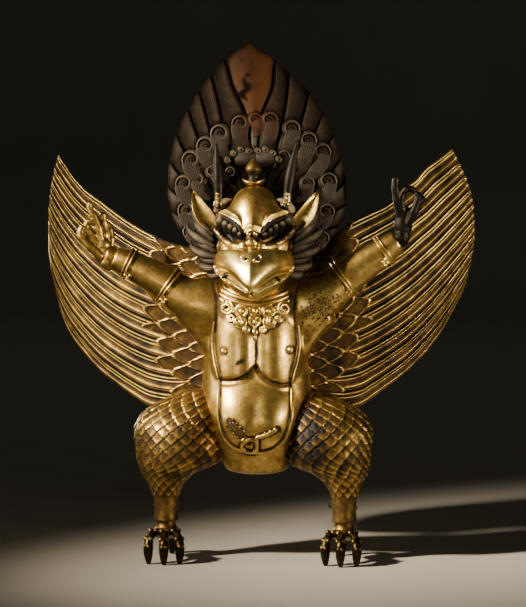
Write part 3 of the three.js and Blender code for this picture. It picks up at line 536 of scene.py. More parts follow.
def painted_hair(colours, name, pitch, worn=False):
    # Thin matt paint over chased copper: grey-brown locks with fine combed lines, orange in the middle leaf,
    # rubbed pale on the ridges and black in the grooves with dust and painted shade. Where it is worn, pale
    # metal shows through. Rubbed areas are some 35 mm wide, clouds of dust 7 mm, and the grit is drawn at 1.5
    # mm so that it shows at all.
    made, tree, shader, patches, clouds, grit = started_finish(
        name, (35, 5.0, 0.6), (7, 4.0, 0.65), (1.5, 2.0, 0.5)
    )
    strand, relief, tint = surface_values(tree)
    combed = node(tree, "ShaderNodeMath", {0: 1.0}, {1: tint}, operation="SUBTRACT").outputs[0]
    lines = chased_lines(tree, strand, pitch, clouds, 5.0)
    lines = node(tree, "ShaderNodeMath", links={0: lines, 1: combed}, operation="MULTIPLY").outputs[0]
    height = weighed(tree, relief, ((clouds, 0.34), (lines, 0.06)), 0.17)
    recess, brown, main, pale, bare, orange = tones(
        colours, "hair_recess", "hair_brown", "hair_grey", "hair_pale", "hair_worn", "leaf_orange"
    )
    stops = [(0.08, recess), (0.42, brown), (0.7, main), (0.95, pale)]
    if worn:
        stops = [(0.08, recess), (0.36, main), (0.66, pale), (0.95, bare)]
    colour = node(tree, "ShaderNodeValToRGB", links={"Fac": height}, stops=stops).outputs["Color"]
    warm = node(
        tree, "ShaderNodeMapRange", {"From Min": 0.42, "From Max": 0.66, "To Max": 0.55}, {"Value": patches}
    ).outputs["Result"]
    faded = weighed(tree, height, ((patches, 1.3),), 0.65)
    stops = [(0.3, dimmed(orange, 0.12)), (0.5, dimmed(orange, 0.55)), (0.8, orange)]
    leaf_colour = node(tree, "ShaderNodeValToRGB", links={"Fac": faded}, stops=stops).outputs["Color"]
    for values, links in (
        ({"B": (*brown, 1.0)}, {"Factor": warm}),
        ({}, {"Factor": tint, "B": leaf_colour}),
    ):
        mixed = node(tree, "ShaderNodeMix", values, {"A": colour, **links}, data_type="RGBA")
        colour = mixed.outputs["Result"]
    tree.links.new(colour, shader.inputs["Base Color"])
    shader.inputs["Metallic"].default_value = 0.15
    for socket, low, high, at_low, at_high in (
        ("Specular IOR Level", 0.05, 0.7, 0.02, 0.28),
        ("Roughness", 0.2, 1.0, 0.75, 0.5),
    ):
        values = {"From Min": low, "From Max": high, "To Min": at_low, "To Max": at_high}
        ranged = node(tree, "ShaderNodeMapRange", values, {"Value": height})
        tree.links.new(ranged.outputs["Result"], shader.inputs[socket])
    roughened(tree, shader, ((grit, 0.3, 0.4), (lines, 0.5, 0.5)))
    return made


def studio_paper(colours, name):
    # Matt pale studio paper, the same tone all over, with a faint mottle of 120 mm so that it doesn't look
    # like plastic.
    made, tree, shader, mottle = started_finish(name, (120, 4.0, 0.5))
    (paper,) = tones(colours, "floor")
    stops = [(0.35, dimmed(paper, 0.94)), (0.65, paper)]
    tone = node(tree, "ShaderNodeValToRGB", links={"Fac": mottle}, stops=stops)
    tree.links.new(tone.outputs["Color"], shader.inputs["Base Color"])
    shader.inputs["Roughness"].default_value = 0.8
    return made


# Trunk and arms

TRUNK_POWER = 2.3
TRUNK_FOOT = 124.0  # below this height the trunk draws in
# Height, half width, depth of the front, depth of the back.
TRUNK_ROWS = [
    [118, 38, 28, 20], [130, 46, 38, 26], [145, 53, 48, 30], [165, 61, 56, 33], [190, 68, 59, 35],
    [215, 73, 56, 36], [243, 73, 49, 35], [268, 70, 44, 34], [290, 69, 44, 34], [315, 70, 47, 36],
    [340, 67, 49, 37], [362, 58, 45, 35], [380, 45, 37, 30], [396, 35, 30, 26],
]
ARM_PATH = {
    "left": [
        [44, -4, 338], [72, -7, 347], [97, -9, 355.5], [122, -9, 374], [150, -9, 389], [173, -9, 401],
        [191, -8, 408],
    ],
    "right": [
        [44, -4, 340], [72, -7, 350], [97, -9, 364], [118, -9, 381], [148, -9, 402.5], [171, -9, 418],
        [190, -9, 432],
    ],
}
# Share of the arm, half height, half depth.
ARM_ROWS = [
    [0, 44, 34], [0.17, 39, 33.5], [0.26, 33.5, 31.5], [0.35, 29, 29], [0.45, 25.5, 26], [0.58, 23.5, 24],
    [0.76, 21, 20.5], [0.88, 18.5, 18], [1, 15.5, 15],
]
ARMPIT = [[60, -4, 262], [65, -5, 288], [78, -6, 312], [102, -8, 338]]
ARMPIT_ROWS = [[0, 5], [0.35, 11], [0.7, 14], [1, 15]]
# Lines on the chest as places across and up, in the drawing for the folds and from the chest's middle for
# the rest.
CHEST_AXIS = 1.5
FOLD_LINE = [
    [-56, 249], [-40, 246.5], [-28, 248], [-17, 252], [-6, 258.5], [2.5, 268], [9, 256], [22, 247],
    [38, 242.5], [56, 243],
]
CLEFT_LINE = [[1.4, 308], [3.6, 288], [2.6, 264]]
CORD_LINE = [
    [61, 374], [56, 352], [55.5, 324], [58, 294], [55, 272], [49.5, 250], [49, 228], [49, 200], [42, 172.5],
    [28, 157.5], [10, 151.7],
]
CORD_ROUND = np.array(CORD_LINE + [[-x, z] for x, z in CORD_LINE[::-1]])
JEWEL_LINE = [[-46, 352], [-34, 334], [-18, 326], [0, 316], [18, 326], [34, 334], [46, 352]]
KNOT_LOOP = [[-2, 150.5], [-12, 152.5], [-17, 159], [-13, 167], [-4, 170], [3, 166], [3, 158], [-2, 151]]
KNOT_TAIL = [[3, 152], [3.5, 163], [4, 172], [12, 175], [22, 179], [31, 184]]
KNOT_HEAD = [[-8, 166], [-16, 174], [-24, 182], [-33, 194]]


def fold_above(x, z):
    """How far a place lies above the fold under the breasts."""
    line = np.array(FOLD_LINE)
    return z - np.interp(x, line[:, 0], line[:, 1])


def breast_relief(x, z):
    """Two round breasts that step out at the fold below and fade upwards, less the cleft between them, and
    the belly: one broad mound with two lobes at its foot beside a furrow."""
    above = fold_above(x, z)
    breast = mound_over(np.abs(x - 2), z, (27, 274), 36, 42, 62, 1.0) * smooth(above, -1.5, 2.5)
    cleft = bell(x - 2, 5) * smooth(above, 0, 10) * (1 - smooth(z, 292, 312))
    belly = mound_over(x, z, (2, 204), 62, 62, 48, 1.1)
    lobes = mound_over(x, z, (-27, 184), 33, 29, 50, 1.3) + 1.3 * mound_over(x, z, (30, 186), 33, 29, 54, 1.3)
    furrow = bell(x - 2, 9) * smooth(z, 160, 190) * (1 - smooth(z, 222, 246))
    return 12.5 * breast - 2.6 * cleft + 6.0 * belly + 3.0 * lobes - 0.6 * furrow


def mound_over(x, z, middle, half, below, above, power):
    """A smooth mound: one less the square of the way out from its middle, raised to a power. It may reach
    further up than down."""
    along = np.where(z > middle[1], above, below)
    out = np.hypot((x - middle[0]) / half, (z - middle[1]) / along)
    return np.clip(1 - out**2, 0, 1) ** power


def trunk_front(x, z):
    """Depth of the front of the trunk: the front half of a superellipse, less the breasts."""
    half, front, _ = np.moveaxis(table(TRUNK_ROWS, z), -1, 0)
    across = np.minimum(np.abs(x / half), 0.98)
    return -front * (1 - across**TRUNK_POWER) ** (1 / TRUNK_POWER) - breast_relief(x, z)


def on_chest(x, z, rise=0.0):
    """Points on the front of the trunk, measured from the middle of the chest, lifted by rise."""
    x, z = np.asarray(x, float) + CHEST_AXIS, np.asarray(z, float)
    return np.stack([x, trunk_front(x, z) - rise, z], axis=-1)


def trunk_body():
    """The trunk: superellipse rings by height, with the breasts and the belly on their front half. At the
    bottom the rings draw in over a few millimetres and leave it nearly flat."""
    under, top = TRUNK_FOOT - 8.5, TRUNK_ROWS[-1][0]
    z = np.concatenate([np.linspace(under, TRUNK_FOOT, 16)[:-1], np.linspace(TRUNK_FOOT, top, 174)])[:, None]
    angle = circle(180)
    draw = np.sqrt(np.clip(1 - ((TRUNK_FOOT - np.minimum(z, TRUNK_FOOT)) / 8.6) ** 2, 0.001, 1))
    half, front, back = np.moveaxis(table(TRUNK_ROWS, z), -1, 0) * draw
    side = np.sign(np.sin(angle)) * np.abs(np.sin(angle)) ** (2 / TRUNK_POWER)
    fore = np.sign(np.cos(angle)) * np.abs(np.cos(angle)) ** (2 / TRUNK_POWER)
    x = side * half
    relief = breast_relief(x, z) * smooth(fore, 0, 0.5)
    y = np.where(fore > 0, -fore * front - relief, -fore * back)
    return body(np.stack([x, y, z + 0 * x], axis=-1))


def arm_line(name):
    """The middle of an arm, from inside the trunk to the wrist."""
    return curve(mirrored(ARM_PATH[name], SIDES[name]), 120)


def arm_rings(name, shares, grow=0.0, sides=40):
    """Elliptic sections of an arm at shares of its length, tilted with it in the plane of the face."""
    line = arm_line(name)
    middle = share_of(line, shares)
    forward = unit(share_of(np.gradient(line, axis=0), shares))
    up = np.stack([-forward[:, 2], 0 * forward[:, 0], forward[:, 0]], axis=-1)
    up = unit(up * np.sign(forward[:, :1]))
    high, deep = np.moveaxis(table(ARM_ROWS, shares) + grow, -1, 0)
    angle = circle(sides)
    rings = middle[:, None] + (high[:, None] * np.cos(angle))[..., None] * up[:, None]
    rings[..., 1] -= deep[:, None] * np.sin(angle)
    return rings


def torso_skin():
    """Trunk and arms in one skin, eased where the arms leave the trunk, with the folds of chest and belly."""
    parts = [trunk_body()]
    for name, side in SIDES.items():
        parts.append(body(arm_rings(name, np.linspace(0, 1, 90))))
        thick = table(ARMPIT_ROWS, np.linspace(0, 1, 40))[:, 0]
        parts.append(bar(curve(mirrored(ARMPIT, side), 40), thick, thick * 1.5, 24))
    points, quads = fused(parts, 2.0)
    points = relaxed(points, quads, 3, 0.5, 0.51)
    joint = bell(np.abs(points[:, 0]) - 76, 20) * smooth(points[:, 2], 262, 292)
    points = relaxed(points, quads, 22, 0.6 * joint)
    x, y, z = points.T
    inside = 1 - smooth(np.abs(x - CHEST_AXIS), 46, 52)
    front = smooth(-y, 8, 26) * (np.abs(x) < 80)
    fold = line_distance(x, z, curve(FOLD_LINE, 160))
    cleft = line_distance(x, z, curve(CLEFT_LINE, 40))
    groove = line_distance(x, z, curve(CORD_ROUND * [0.94, 1] + [CHEST_AXIS, 2.6], 220))
    sink = inside * (1.3 * bell(fold, 1.6) + 1.5 * bell(cleft, 1.7)) + 1.3 * bell(groove, 1.4)
    sink = sink - inside * 1.7 * bell(fold - 5.0, 2.8) * (fold_above(x, z) < 0)
    points[:, 1] += front * sink
    made = skin_body(points, quads, 1.1)
    across = x - CHEST_AXIS
    knot = [line_distance(across, z, curve(line, 60)) for line in (KNOT_LOOP, KNOT_TAIL, KNOT_HEAD)]
    tied = np.min(knot, axis=0)
    jewels = line_distance(across, z, curve(JEWEL_LINE, 60))
    nipple = np.minimum(np.hypot(x + 40, z - 286), np.hypot(x - 48, z - 288))
    # Painted shade: dark lines in the folds, the cleft and the cord's groove, and dark rims round the knot,
    # the jewels and the nipples.
    dark = inside * (0.5 * bell(fold, 1.1) + 0.8 * bell(cleft, 1.1)) + 0.7 * bell(groove, 1.25)
    dark += 0.75 * bell(tied - 3.0, 1.6) + 0.4 * (1 - smooth(jewels, 8, 15)) + 0.7 * bell(nipple - 5.6, 1.2)
    # A dark tear and a dent beside it on the breast at the viewer's left, both shown only as painted shade.
    tear = np.hypot((x + 18) / 7.0, (z - 272 - 0.4 * (x + 18)) / 3.0)
    dark += 0.9 * (1 - smooth(tear, 0.7, 1.1)) + 0.5 * bell(np.hypot(x + 11, z - 280), 2.6)
    # Where the viewer's right arm leaves the chest the gilding is pitted through in small dark spots, and the
    # same area is painted lighter as a painted highlight.
    pitted_and_highlit = bell(np.hypot((x - 94) / 26, (z - 340) / 26), 1) * smooth(-y, 14, 30)
    spots = 0.9 * (np.random.default_rng(5).random(len(x)) < 0.3 * pitted_and_highlit)
    made[2][:, RELIEF] = np.clip(made[2][:, RELIEF] + 0.25 * pitted_and_highlit - front * dark - spots, 0, 1)
    return made


def chest_cord(points, radius, lift, count=120):
    """A cord laid on the chest: a bar along a line of [across, height] places."""
    line = curve(points, count)
    return bar(on_chest(line[:, 0], line[:, 1], lift), radius, radius * 0.8, 10)


def chest_ring(x, z, radius, wire, lift):
    """A round wire on the chest: a circle of places carried as a bar that meets its own start."""
    turn = np.linspace(0, 2 * np.pi, 40)
    path = on_chest(x + radius * np.cos(turn), z + radius * np.sin(turn), lift)
    return bar(path, wire, wire, 8, ends=0, relief=0.95)


def chest_spiral(x, z, radius, wire, hand, lift):
    """A wire wound in a spiral: its radius shrinks evenly over one and three quarter turns."""
    share = np.linspace(0, 1, 70)
    turn = np.pi / 2 + hand * share * 3.5 * np.pi
    reach = radius * (1 - 0.82 * share)
    path = on_chest(x + reach * np.cos(turn), z + reach * np.sin(turn), lift + 1.2 * share)
    return bar(path, wire * (1 - 0.3 * share), wire, 8, relief=0.95)


RIM_LINE = [[57, 369], [42, 358.5], [25, 351.5], [8, 348]]
HEART_LINE = [[0, 316.5], [-6.5, 323.5], [-6, 330.5], [0, 328.4], [6, 330.5], [6.5, 323.5], [0, 316.5]]
# For the right half of the collar. Spirals: across, height, radius, wire, hand, lift over the chest.
COLLAR_SPIRALS = [
    [37.5, 343, 9.2, 2.8, 1, 1.8], [31.5, 330.5, 5.6, 2.3, -1, 1.6], [22.5, 326, 6.4, 2.5, 1, 1.8],
    [10.5, 315.5, 4.6, 2.0, -1, 1.6],
]
# Wires: places, radius, lift.
COLLAR_WIRES = [
    ([[41, 351], [48, 356], [55, 362]], 2.4, 0.5),
    ([[27, 320], [18, 318], [12.5, 323], [13.5, 331]], 2.4, 0.6),
    ([[6.4, 345], [6.8, 339], [5, 333]], 2.0, 0.6),
]
# Bosses: across, height, lift, their three radii, steps round and down. Those off the middle are in pairs.
COLLAR_BOSSES = [
    [-18, 339.5, 0, (4.6, 5.4, 4.6), 28, 18], [18, 339.5, 0, (4.6, 5.4, 4.6), 28, 18],
    [-28, 338.5, 0.5, (3.2, 3.8, 3.2), 12, 8], [28, 338.5, 0.5, (3.2, 3.8, 3.2), 12, 8],
    [0, 339.5, 0, (4.6, 5.2, 5), 28, 18], [0, 325, 0, (4, 4.8, 4.4), 28, 18],
    [0, 311.5, 0, (5.4, 5.4, 5.6), 28, 18],
]


def collar_bodies():
    """The collar and its hanging jewels: a double rim, paired spirals, rosettes, curls, and a row down the
    middle of bar, heart and drop."""
    rim = np.array(RIM_LINE + [[-x, z] for x, z in RIM_LINE[::-1]], float)
    made = [chest_cord(rim, 2.8, 0.6), chest_cord(rim + [0, 6.5], 3.4, -0.3)]
    made.append(chest_cord(HEART_LINE, 2.1, 2.0))
    for side in (-1, 1):
        made.append(chest_ring(side * 18, 339.5, 7.2, 2.5, 1.5))
        for x, z, radius, wire, hand, lift in COLLAR_SPIRALS:
            made.append(chest_spiral(side * x, z, radius, wire, side * hand, lift))
        for line, radius, lift in COLLAR_WIRES:
            made.append(chest_cord(np.array(line) * [side, 1], radius, lift))
    for x, z, lift, radii, across, down in COLLAR_BOSSES:
        made.append(ball(on_chest(x, z, lift), radii, across=across, down=down, relief=0.95))
    drop = on_chest([0, 0.2, 0.6, 1.0], [311, 306, 301, 296])
    made.append(bar(drop, np.array([3.8, 3.2, 2.2, 1.0]), 3.4, 12, relief=0.9))
    return made


def knot_bodies():
    """The cord of the chest and its knot: the two ends cross in a loop, one runs out in a notched tail and
    the other in a head of three lobes edged with beads. The nipples are set with it."""
    made = [chest_cord(CORD_ROUND, 2.5, 0.5, 420), chest_cord(KNOT_LOOP, 2.7, 2.2, 80)]
    made.append(chest_cord(KNOT_TAIL, 2.9, 2.6, 60))
    for x, z in ((9, 170), (16, 173), (22, 176)):
        made.append(chest_cord([[x, z + 1], [x + 4, z + 5.5], [x + 7, z + 10]], 1.9, 2.4, 16))
    head = [(chest_cord(KNOT_HEAD, 4.6, 1.4, 50), 0.3)]
    for shift, reach in ((-5.0, 0.9), (5.0, 0.8), (0.0, 1.0)):
        lobe = [[-14, 172], [-20 + shift, 180], [-27 + shift, 187], [-33 + shift * reach, 194]]
        head.append((chest_cord(lobe, 2.3, 3.0, 40), 0.4))
    for strip, share in head:
        strip[2][:, RELIEF] *= share
        made.append(strip)
    for step in range(4):
        for shift in (-8.5, 8.5):
            spot = on_chest(-17 - 5 * step + 0.5 * shift, 177 + 5 * step + 0.5 * shift, 1.2)
            made.append(ball(spot, (2.4, 2.6, 2.4), relief=0.35))
    made.append(ball(on_chest(-13, 169, 2.2), (5.4, 4.6, 5.4)))
    for x, z in ((-41.5, 286), (46.5, 288)):
        made.append(ball(on_chest(x, z, 0.8), (4.4, 4.4, 4.4), across=20, down=12, relief=0.95))
    return made


# Bands of the arms


BAND_WIDTH = 7.4
BAND_THICK = 3.0
BAND_PLACES = {"armlet": 0.5, "bracelet": 0.875}  # shares of the arm's length
# A strap and two wires on it: middle and half width as shares of the band's width, height as a share of its
# thickness.
BAND_BARS = [(0.0, 0.5, 0.55), (-0.34, 0.2, 1.15), (0.34, 0.2, 1.15)]
# Beads of the flower: across and up from its seat.
BAND_FLOWER = [(0.0, 3.7), (-3.0, 0.0), (3.4, -0.4), (0.0, -3.9)]


def band_bodies(name, share):
    """A band round an arm: two round wires on a flat strap, and a flower of four beads beside its front."""
    width = BAND_WIDTH / run_along(arm_line(name))[-1]
    made = []
    for place, half, rise in BAND_BARS:
        steps = np.linspace(-1, 1, 9)
        rings = arm_rings(name, share + (place + half * steps) * width, 0.0, 64)
        outward = unit(rings - rings.mean(axis=1, keepdims=True))
        lift = 0.4 + BAND_THICK * rise * np.sqrt(np.clip(1 - steps**2, 0, 1))
        shade = 0.1 + 0.85 * np.clip(lift / (BAND_THICK * 1.1), 0, 1)[:, None]
        made.append(body(rings + lift[:, None, None] * outward, lie_of(rings.shape[:2], relief=shade)))
    # The flower sits nearly a band's width nearer the trunk, on the lower half of the arm's front.
    seat = arm_rings(name, np.array([share - 0.95 * width]), 1.2, 64)[0, 23]
    for x, z in BAND_FLOWER:
        made.append(ball(seat + [x, -0.8, z], (2.6, 2.6, 2.6), across=16, down=10, relief=0.95))
    return made


# Legs and feet

# Height, distance from the middle, depth, half width, half depth.
LEG_ROWS = [
    [51, 121, -2, 17.2, 17.4], [60, 121, -2, 16.3, 16.5], [72, 121, -2, 16.2, 16.5],
    [84, 121, -2, 16.8, 17.6], [96, 121, -3, 19.5, 20.5], [108, 119.5, -5, 25.5, 26],
    [118, 115.5, -7, 34, 31], [126, 107, -9, 45, 36], [136, 100, -10, 54, 40], [150, 97, -10, 58.5, 43],
    [166, 96.5, -9, 61, 44], [182, 96, -8, 60.5, 43], [196, 92, -6, 57, 39], [208, 85, -4, 50, 33],
    [219, 75, -1, 39, 26], [229, 67, 2, 26, 19],
]
SCALES_ROUND = 20  # where the thigh is thickest
SCALE_HEIGHT = 8.7
SLEEVE_TOP = 83.0  # the scales end near this height
HIP_ROW = 40  # rows of scales are counted down from this number
# A foot: height of its seat, profile of its bell, toes as they run across and forward, and along a toe the
# share of its run and the height, its radius by share, and for each pair of beads the share, the height, how
# far they stand apart and their radius.
FOOT_TOP = 51.0
BELL_LINE = [[8, 55], [12.8, 54], [12.6, 49], [14.2, 43], [17.6, 38.5], [18.8, 34], [15, 28.5], [1, 27]]
TOES = [[18, -50], [-3, -56], [-23, -47], [-4, 34]]
TOE_LINE = [[0.16, 33], [0.46, 38], [0.72, 38.5], [0.92, 35], [1.0, 28], [1.03, 19], [1.02, 9], [1.0, -2]]
TOE_ROWS = [[0, 6.6], [0.3, 5.8], [0.42, 5.4], [0.56, 5.6], [0.68, 6.6], [0.8, 6.2], [0.92, 4.2], [1, 2.2]]
KNUCKLES = [(0.74, 42.5, 4.0, 3.6), (1.0, 33.5, 3.8, 3.5), (1.12, 24.5, 2.4, 2.6)]
# A pin through an ankle: height, half length and radius, and the bent end of the viewer's right one from the
# middle of the ankle.
PIN_HEIGHT = 71.0
PIN_REACH = 18.4
PIN_RADIUS = 1.55
PIN_BEND = [[-17, 0, 71], [-19.6, 0, 72.4], [-20.4, 0, 77]]


def leg_middle(name, z):
    """Middle of a leg at a height: both legs drift a little towards the viewer's left as they rise."""
    rows = table(LEG_ROWS, z)
    return SIDES[name] * rows[..., 0] - 2 - 2 * smooth(z, 70, 160), rows[..., 1]


def leg_body(name, scale_rise):
    """A leg: elliptic rings by height under overlapping scales. The scales keep their size: their count round
    the ring grows with the 0.6th power of the girth, and they stop at a ragged edge over the plain sleeve."""
    side = SIDES[name]
    # Rings lie wide apart on the sleeve and close together where the scales are.
    z = np.concatenate([np.linspace(52, 76, 14), np.linspace(76.9, LEG_ROWS[-1][0], 164)])
    rows = table(LEG_ROWS, z)
    half, deep = rows[:, 2], rows[:, 3]
    turn = np.linspace(-np.pi, np.pi, 208, endpoint=False)
    turn = turn - 0.32 * np.sin(turn)
    girth = np.pi * (half + deep)
    girth /= girth.max()
    widths = SCALES_ROUND * (girth**0.6)[:, None] * turn / (2 * np.pi)
    path = np.append(0, np.cumsum(np.hypot(np.diff(z), 0.6 * np.diff(half))))
    up = np.append(0, np.cumsum(np.diff(path) / (SCALE_HEIGHT * (0.74 + 0.26 * girth[1:]))))
    down = HIP_ROW + (up[-1] - up)
    gone, left, x, row = tiles(widths, down[:, None], 1.15)
    scaly = row < np.interp(SLEEVE_TOP, z, down) - 2
    # A number from 0 to 1 of each scale's own, from its row and its column, so that no two are alike.
    own = np.mod(43758.5 * np.sin(12.99 * row + 78.23 * np.round(widths + 0.5 * np.mod(row, 2))), 1)
    facet = 0.16 + (0.45 + 0.35 * own) * gone + 0.3 * (1 - np.abs(x)) ** 1.2
    size = 0.5 + 0.5 * smooth(z, 84, 125)[:, None]
    rise = np.where(scaly, scale_rise * facet * smooth(left, 0, 0.1) * size, 0)
    middle_x, middle_y = leg_middle(name, z)
    px = middle_x[:, None] + side * np.sin(turn) * (half[:, None] + rise)
    py = middle_y[:, None] - np.cos(turn) * (deep[:, None] + rise)
    # Painted shade and highlight: each scale is dark where the one above overlaps it and lighter towards its
    # free edge, and its own number makes it lighter or darker, as a facet that catches the light or not.
    shade = 0.02 + 0.2 * smooth(left, 0.02, 0.16)
    shade = shade + (0.5 + 0.45 * own) * gone**2.2 * (1 - 0.7 * np.abs(x) ** 2)
    relief = np.where(scaly, shade, 0.36)
    inner = side * (middle_x[:, None] - px)
    high = smooth(z, 118, 145)[:, None]
    # On the inner side the viewer's right thigh is duller and the left one redder.
    if name == "right":
        gloom = smooth(inner, -16, 14) * high
        relief = relief - 0.3 * gloom
        tint = 0.3 * gloom
    else:
        tint = 0.55 * smooth(inner, -8, 30) * high * (1 - 0.75 * smooth(z, 186, 212)[:, None])
    lie = lie_of(rise.shape, relief=np.clip(relief, 0, 1), tint=tint)
    return body(np.stack([px, py, z[:, None] + 0 * px], axis=-1), lie)


def foot_bodies(name):
    """A foot in one skin: a flared bell under the ankle, and four toes with a pair of beads at each of three
    joints, the last part a straight claw that is cut off flat at the floor."""
    side = SIDES[name]
    x, y = leg_middle(name, FOOT_TOP)
    parts = [turned(curve(BELL_LINE, 40), (x, y, 0), 40)]
    for out, forward in TOES:
        run = np.array([side * out, forward], float)
        across = np.array([-run[1], run[0]]) / np.hypot(*run)
        path = curve([[x + run[0] * s, y + run[1] * s, z] for s, z in TOE_LINE], 80)
        thick = table(TOE_ROWS, np.linspace(0, 1, 80))[:, 0]
        parts.append(bar(path, thick, thick, 18, face=(1, 0, 0), ends=0.02))
        for s, z, apart, radius in KNUCKLES:
            for hand in (-1, 1):
                spot = [x, y] + run * s + hand * apart * across
                parts.append(ball((*spot, z), (radius, radius, radius)))
    points, quads = fused(parts, 1.08)
    points = relaxed(points, quads, 1, 0.5, 0.51)
    points[:, 2] = np.maximum(points[:, 2], 0.02)
    made = skin_body(points, quads, 2.0)
    # Beyond the bell the toes are blackened, but not where their knuckles are rubbed bare.
    reach = np.hypot(points[:, 0] - x, points[:, 1] - y)
    worn = smooth(made[2][:, RELIEF], 0.66, 0.95) * smooth(points[:, 2], 20, 27)
    made[2][:, TINT] = smooth(reach, 20, 28) * (1 - 0.85 * worn)
    return [made]


def pin_bodies(name):
    """A pin straight through an ankle. The viewer's right one ends in a thin wire that is bent up."""
    middle = np.array([*leg_middle(name, PIN_HEIGHT), 0.0])
    line = [[-PIN_REACH, 0, PIN_HEIGHT], [0, 0, PIN_HEIGHT], [PIN_REACH, 0, PIN_HEIGHT]]
    made = [bar(curve(middle + line, 24), PIN_RADIUS, PIN_RADIUS, 12, ends=0.02)]
    if name == "right":
        made.append(bar(curve(middle + PIN_BEND, 16), 1.2, 1.2, 10))
    return made


# Hands

# Drawn for the viewer's right. Palms are three balls, as middle and radii.
PALMS = {
    "left": [[[200, -9, 404], [10, 8.5, 11]], [[204, -9, 413], [11, 8, 12]], [[208, -9, 424], [10, 7, 10]]],
    "right": [[[195, -9, 438], [10, 8.5, 12]], [[197, -10, 452], [11, 8, 14]], [[199, -9, 466], [10, 7, 11]]],
}
# Fingers are a radius and places along them.
FINGERS = {
    "left": [
        (3.9, [
            [206, -10, 420], [210, -11, 437], [213, -12, 450], [218, -13, 463], [223, -13, 472],
            [224.5, -13, 479], [220, -13, 482.5],
        ]),
        (4.3, [
            [207, -14, 407], [217, -17, 417], [227, -18, 427], [235, -17, 437], [235.5, -16.5, 445],
            [231, -15.5, 452],
        ]),
        (3.9, [
            [213, -12, 425], [222, -13, 437], [229, -14, 448], [226, -14, 456], [217, -13, 455],
            [212, -11, 446],
        ]),
        (4.0, [[204, -4, 418], [204.5, -3, 436], [206.5, -2, 452], [208, -2, 470]]),
        (3.8, [[198, -2, 416], [197, 0, 432], [199, 1, 446], [203, 1, 456]]),
    ],
    "right": [
        (4.2, [[194, -11, 462], [190, -12, 480], [187, -13, 498], [186.5, -13, 510], [187.5, -13, 518]]),
        (4.3, [[202, -13, 451], [208, -16, 463], [213, -17, 476], [217.5, -16, 489], [214.5, -15, 498]]),
        (3.9, [[197, -12, 470], [194, -13, 486], [199, -14, 499], [207, -14.5, 501.5], [213, -14, 497]]),
        (3.8, [[203, -7, 464], [212, -5, 475], [219, -3, 484], [226, -2, 491.5]]),
        (3.5, [[203, -2, 458], [210, 0, 467], [216, 1, 474], [222, 1, 478]]),
    ],
}
PALM_GROWTH = 1.15  # over the radii above
FINGER_GROWTH = 1.22
WRIST_STEPS = [10, 4, 0.6]  # places of the hand's collar, as distances beyond the end of the arm
WRIST_RADIUS = 12.2


def hand_bodies(name):
    """A hand in one skin: a palm of three balls, fingers that swell at each joint, and the wrist's collar."""
    side = SIDES[name]
    parts = [ball(mirrored(m, side), PALM_GROWTH * np.array(r)) for m, r in PALMS[name]]
    share = np.linspace(0, 1, 60)
    joints = bell(share - 0.42, 0.07) + 0.8 * bell(share - 0.72, 0.06)
    for radius, line in FINGERS[name]:
        thick = FINGER_GROWTH * radius * (1.18 - 0.3 * share + 0.12 * joints)
        parts.append(bar(curve(mirrored(line, side), 60), thick, thick * 0.95, 14, ends=0.07))
    arm = arm_line(name)
    back = (arm[-6] - arm[-1]) / np.linalg.norm(arm[-6] - arm[-1])
    wrist = arm[-1] - np.outer(WRIST_STEPS, back)
    parts.append(bar(curve(wrist, 12), WRIST_RADIUS, WRIST_RADIUS, 28, ends=0))
    points, quads = fused(parts, 1.0)
    points = relaxed(points, quads, 3, 0.5, 0.5)
    made = skin_body(points, quads, 1.5)
    made[2][:, RELIEF] = np.clip(made[2][:, RELIEF] - 0.08, 0, 1)
    return [made]


# Wings

# Edges of a wing as places across and up, drawn for the viewer's right: the leading and the trailing edge
# run from the root to the tip, the end from the upper corner to the lower.
WING_EDGES = {
    "left": {
        "top": [
            [30, 390], [87, 417], [122, 427], [151, 439], [180, 455], [201, 469], [223, 485], [241, 497],
            [259, 515], [274, 535], [284, 549],
        ],
        "end": [[284, 549], [292, 519], [296.5, 484], [298, 442], [297, 400], [291, 365]],
        "bottom": [
            [30, 226], [80, 207], [115, 196], [151, 198], [167, 206], [195, 224], [224, 245], [246, 268],
            [268, 296], [282.5, 330], [291, 365],
        ],
    },
    "right": {
        "top": [
            [30, 388], [71, 411], [111, 444], [124, 455], [151, 468], [179, 482], [194, 500], [213, 513],
            [227, 529], [247, 544], [263, 557],
        ],
        "end": [[263, 557], [275, 533], [286, 506], [293, 478], [295.7, 437], [290, 395], [281, 361]],
        "bottom": [
            [30, 226], [80, 209], [112, 198], [139, 201], [154, 211], [173, 225], [200, 245], [227, 272],
            [248, 299], [264, 327], [281, 361],
        ],
    },
}
WING_START = 0.07  # share of the drawn length where the sheet begins, behind the shoulder
WING_LENGTH = 270.0
WING_ROOT = 30.0  # across from the figure's middle
WING_DEPTH = 28.0  # behind the middle of the trunk, at the root
WING_SWEEP = 0.27  # backwards for each step outwards
WING_CAMBER = 9.0
FEATHERS = 10
COVERTS_DOWN = 9.0  # coverts from the leading to the trailing edge
COVERT_STEP = 0.07  # from one row of coverts to the next, as a share of the wing's length
# Share of the way down the wing, share of its length that the coverts cover.
COVERT_END = [[0, 0.35], [0.35, 0.37], [0.6, 0.34], [0.8, 0.26], [1, 0.16]]
# Section of one feather from its upper to its lower edge: share of the width, share of the height.
FEATHER_ROWS = [
    [0, 0.0], [0.03, 0.1], [0.08, 0.7], [0.115, 0.95], [0.15, 0.95], [0.19, 0.6], [0.225, 0.42],
    [0.26, 0.6], [0.3, 0.85], [0.335, 0.85], [0.38, 0.5], [0.46, 0.42], [0.6, 0.44], [0.7, 0.56],
    [0.755, 0.6], [0.81, 0.4], [0.86, 0.44], [0.92, 0.46], [0.965, 0.1], [1, 0.0],
]
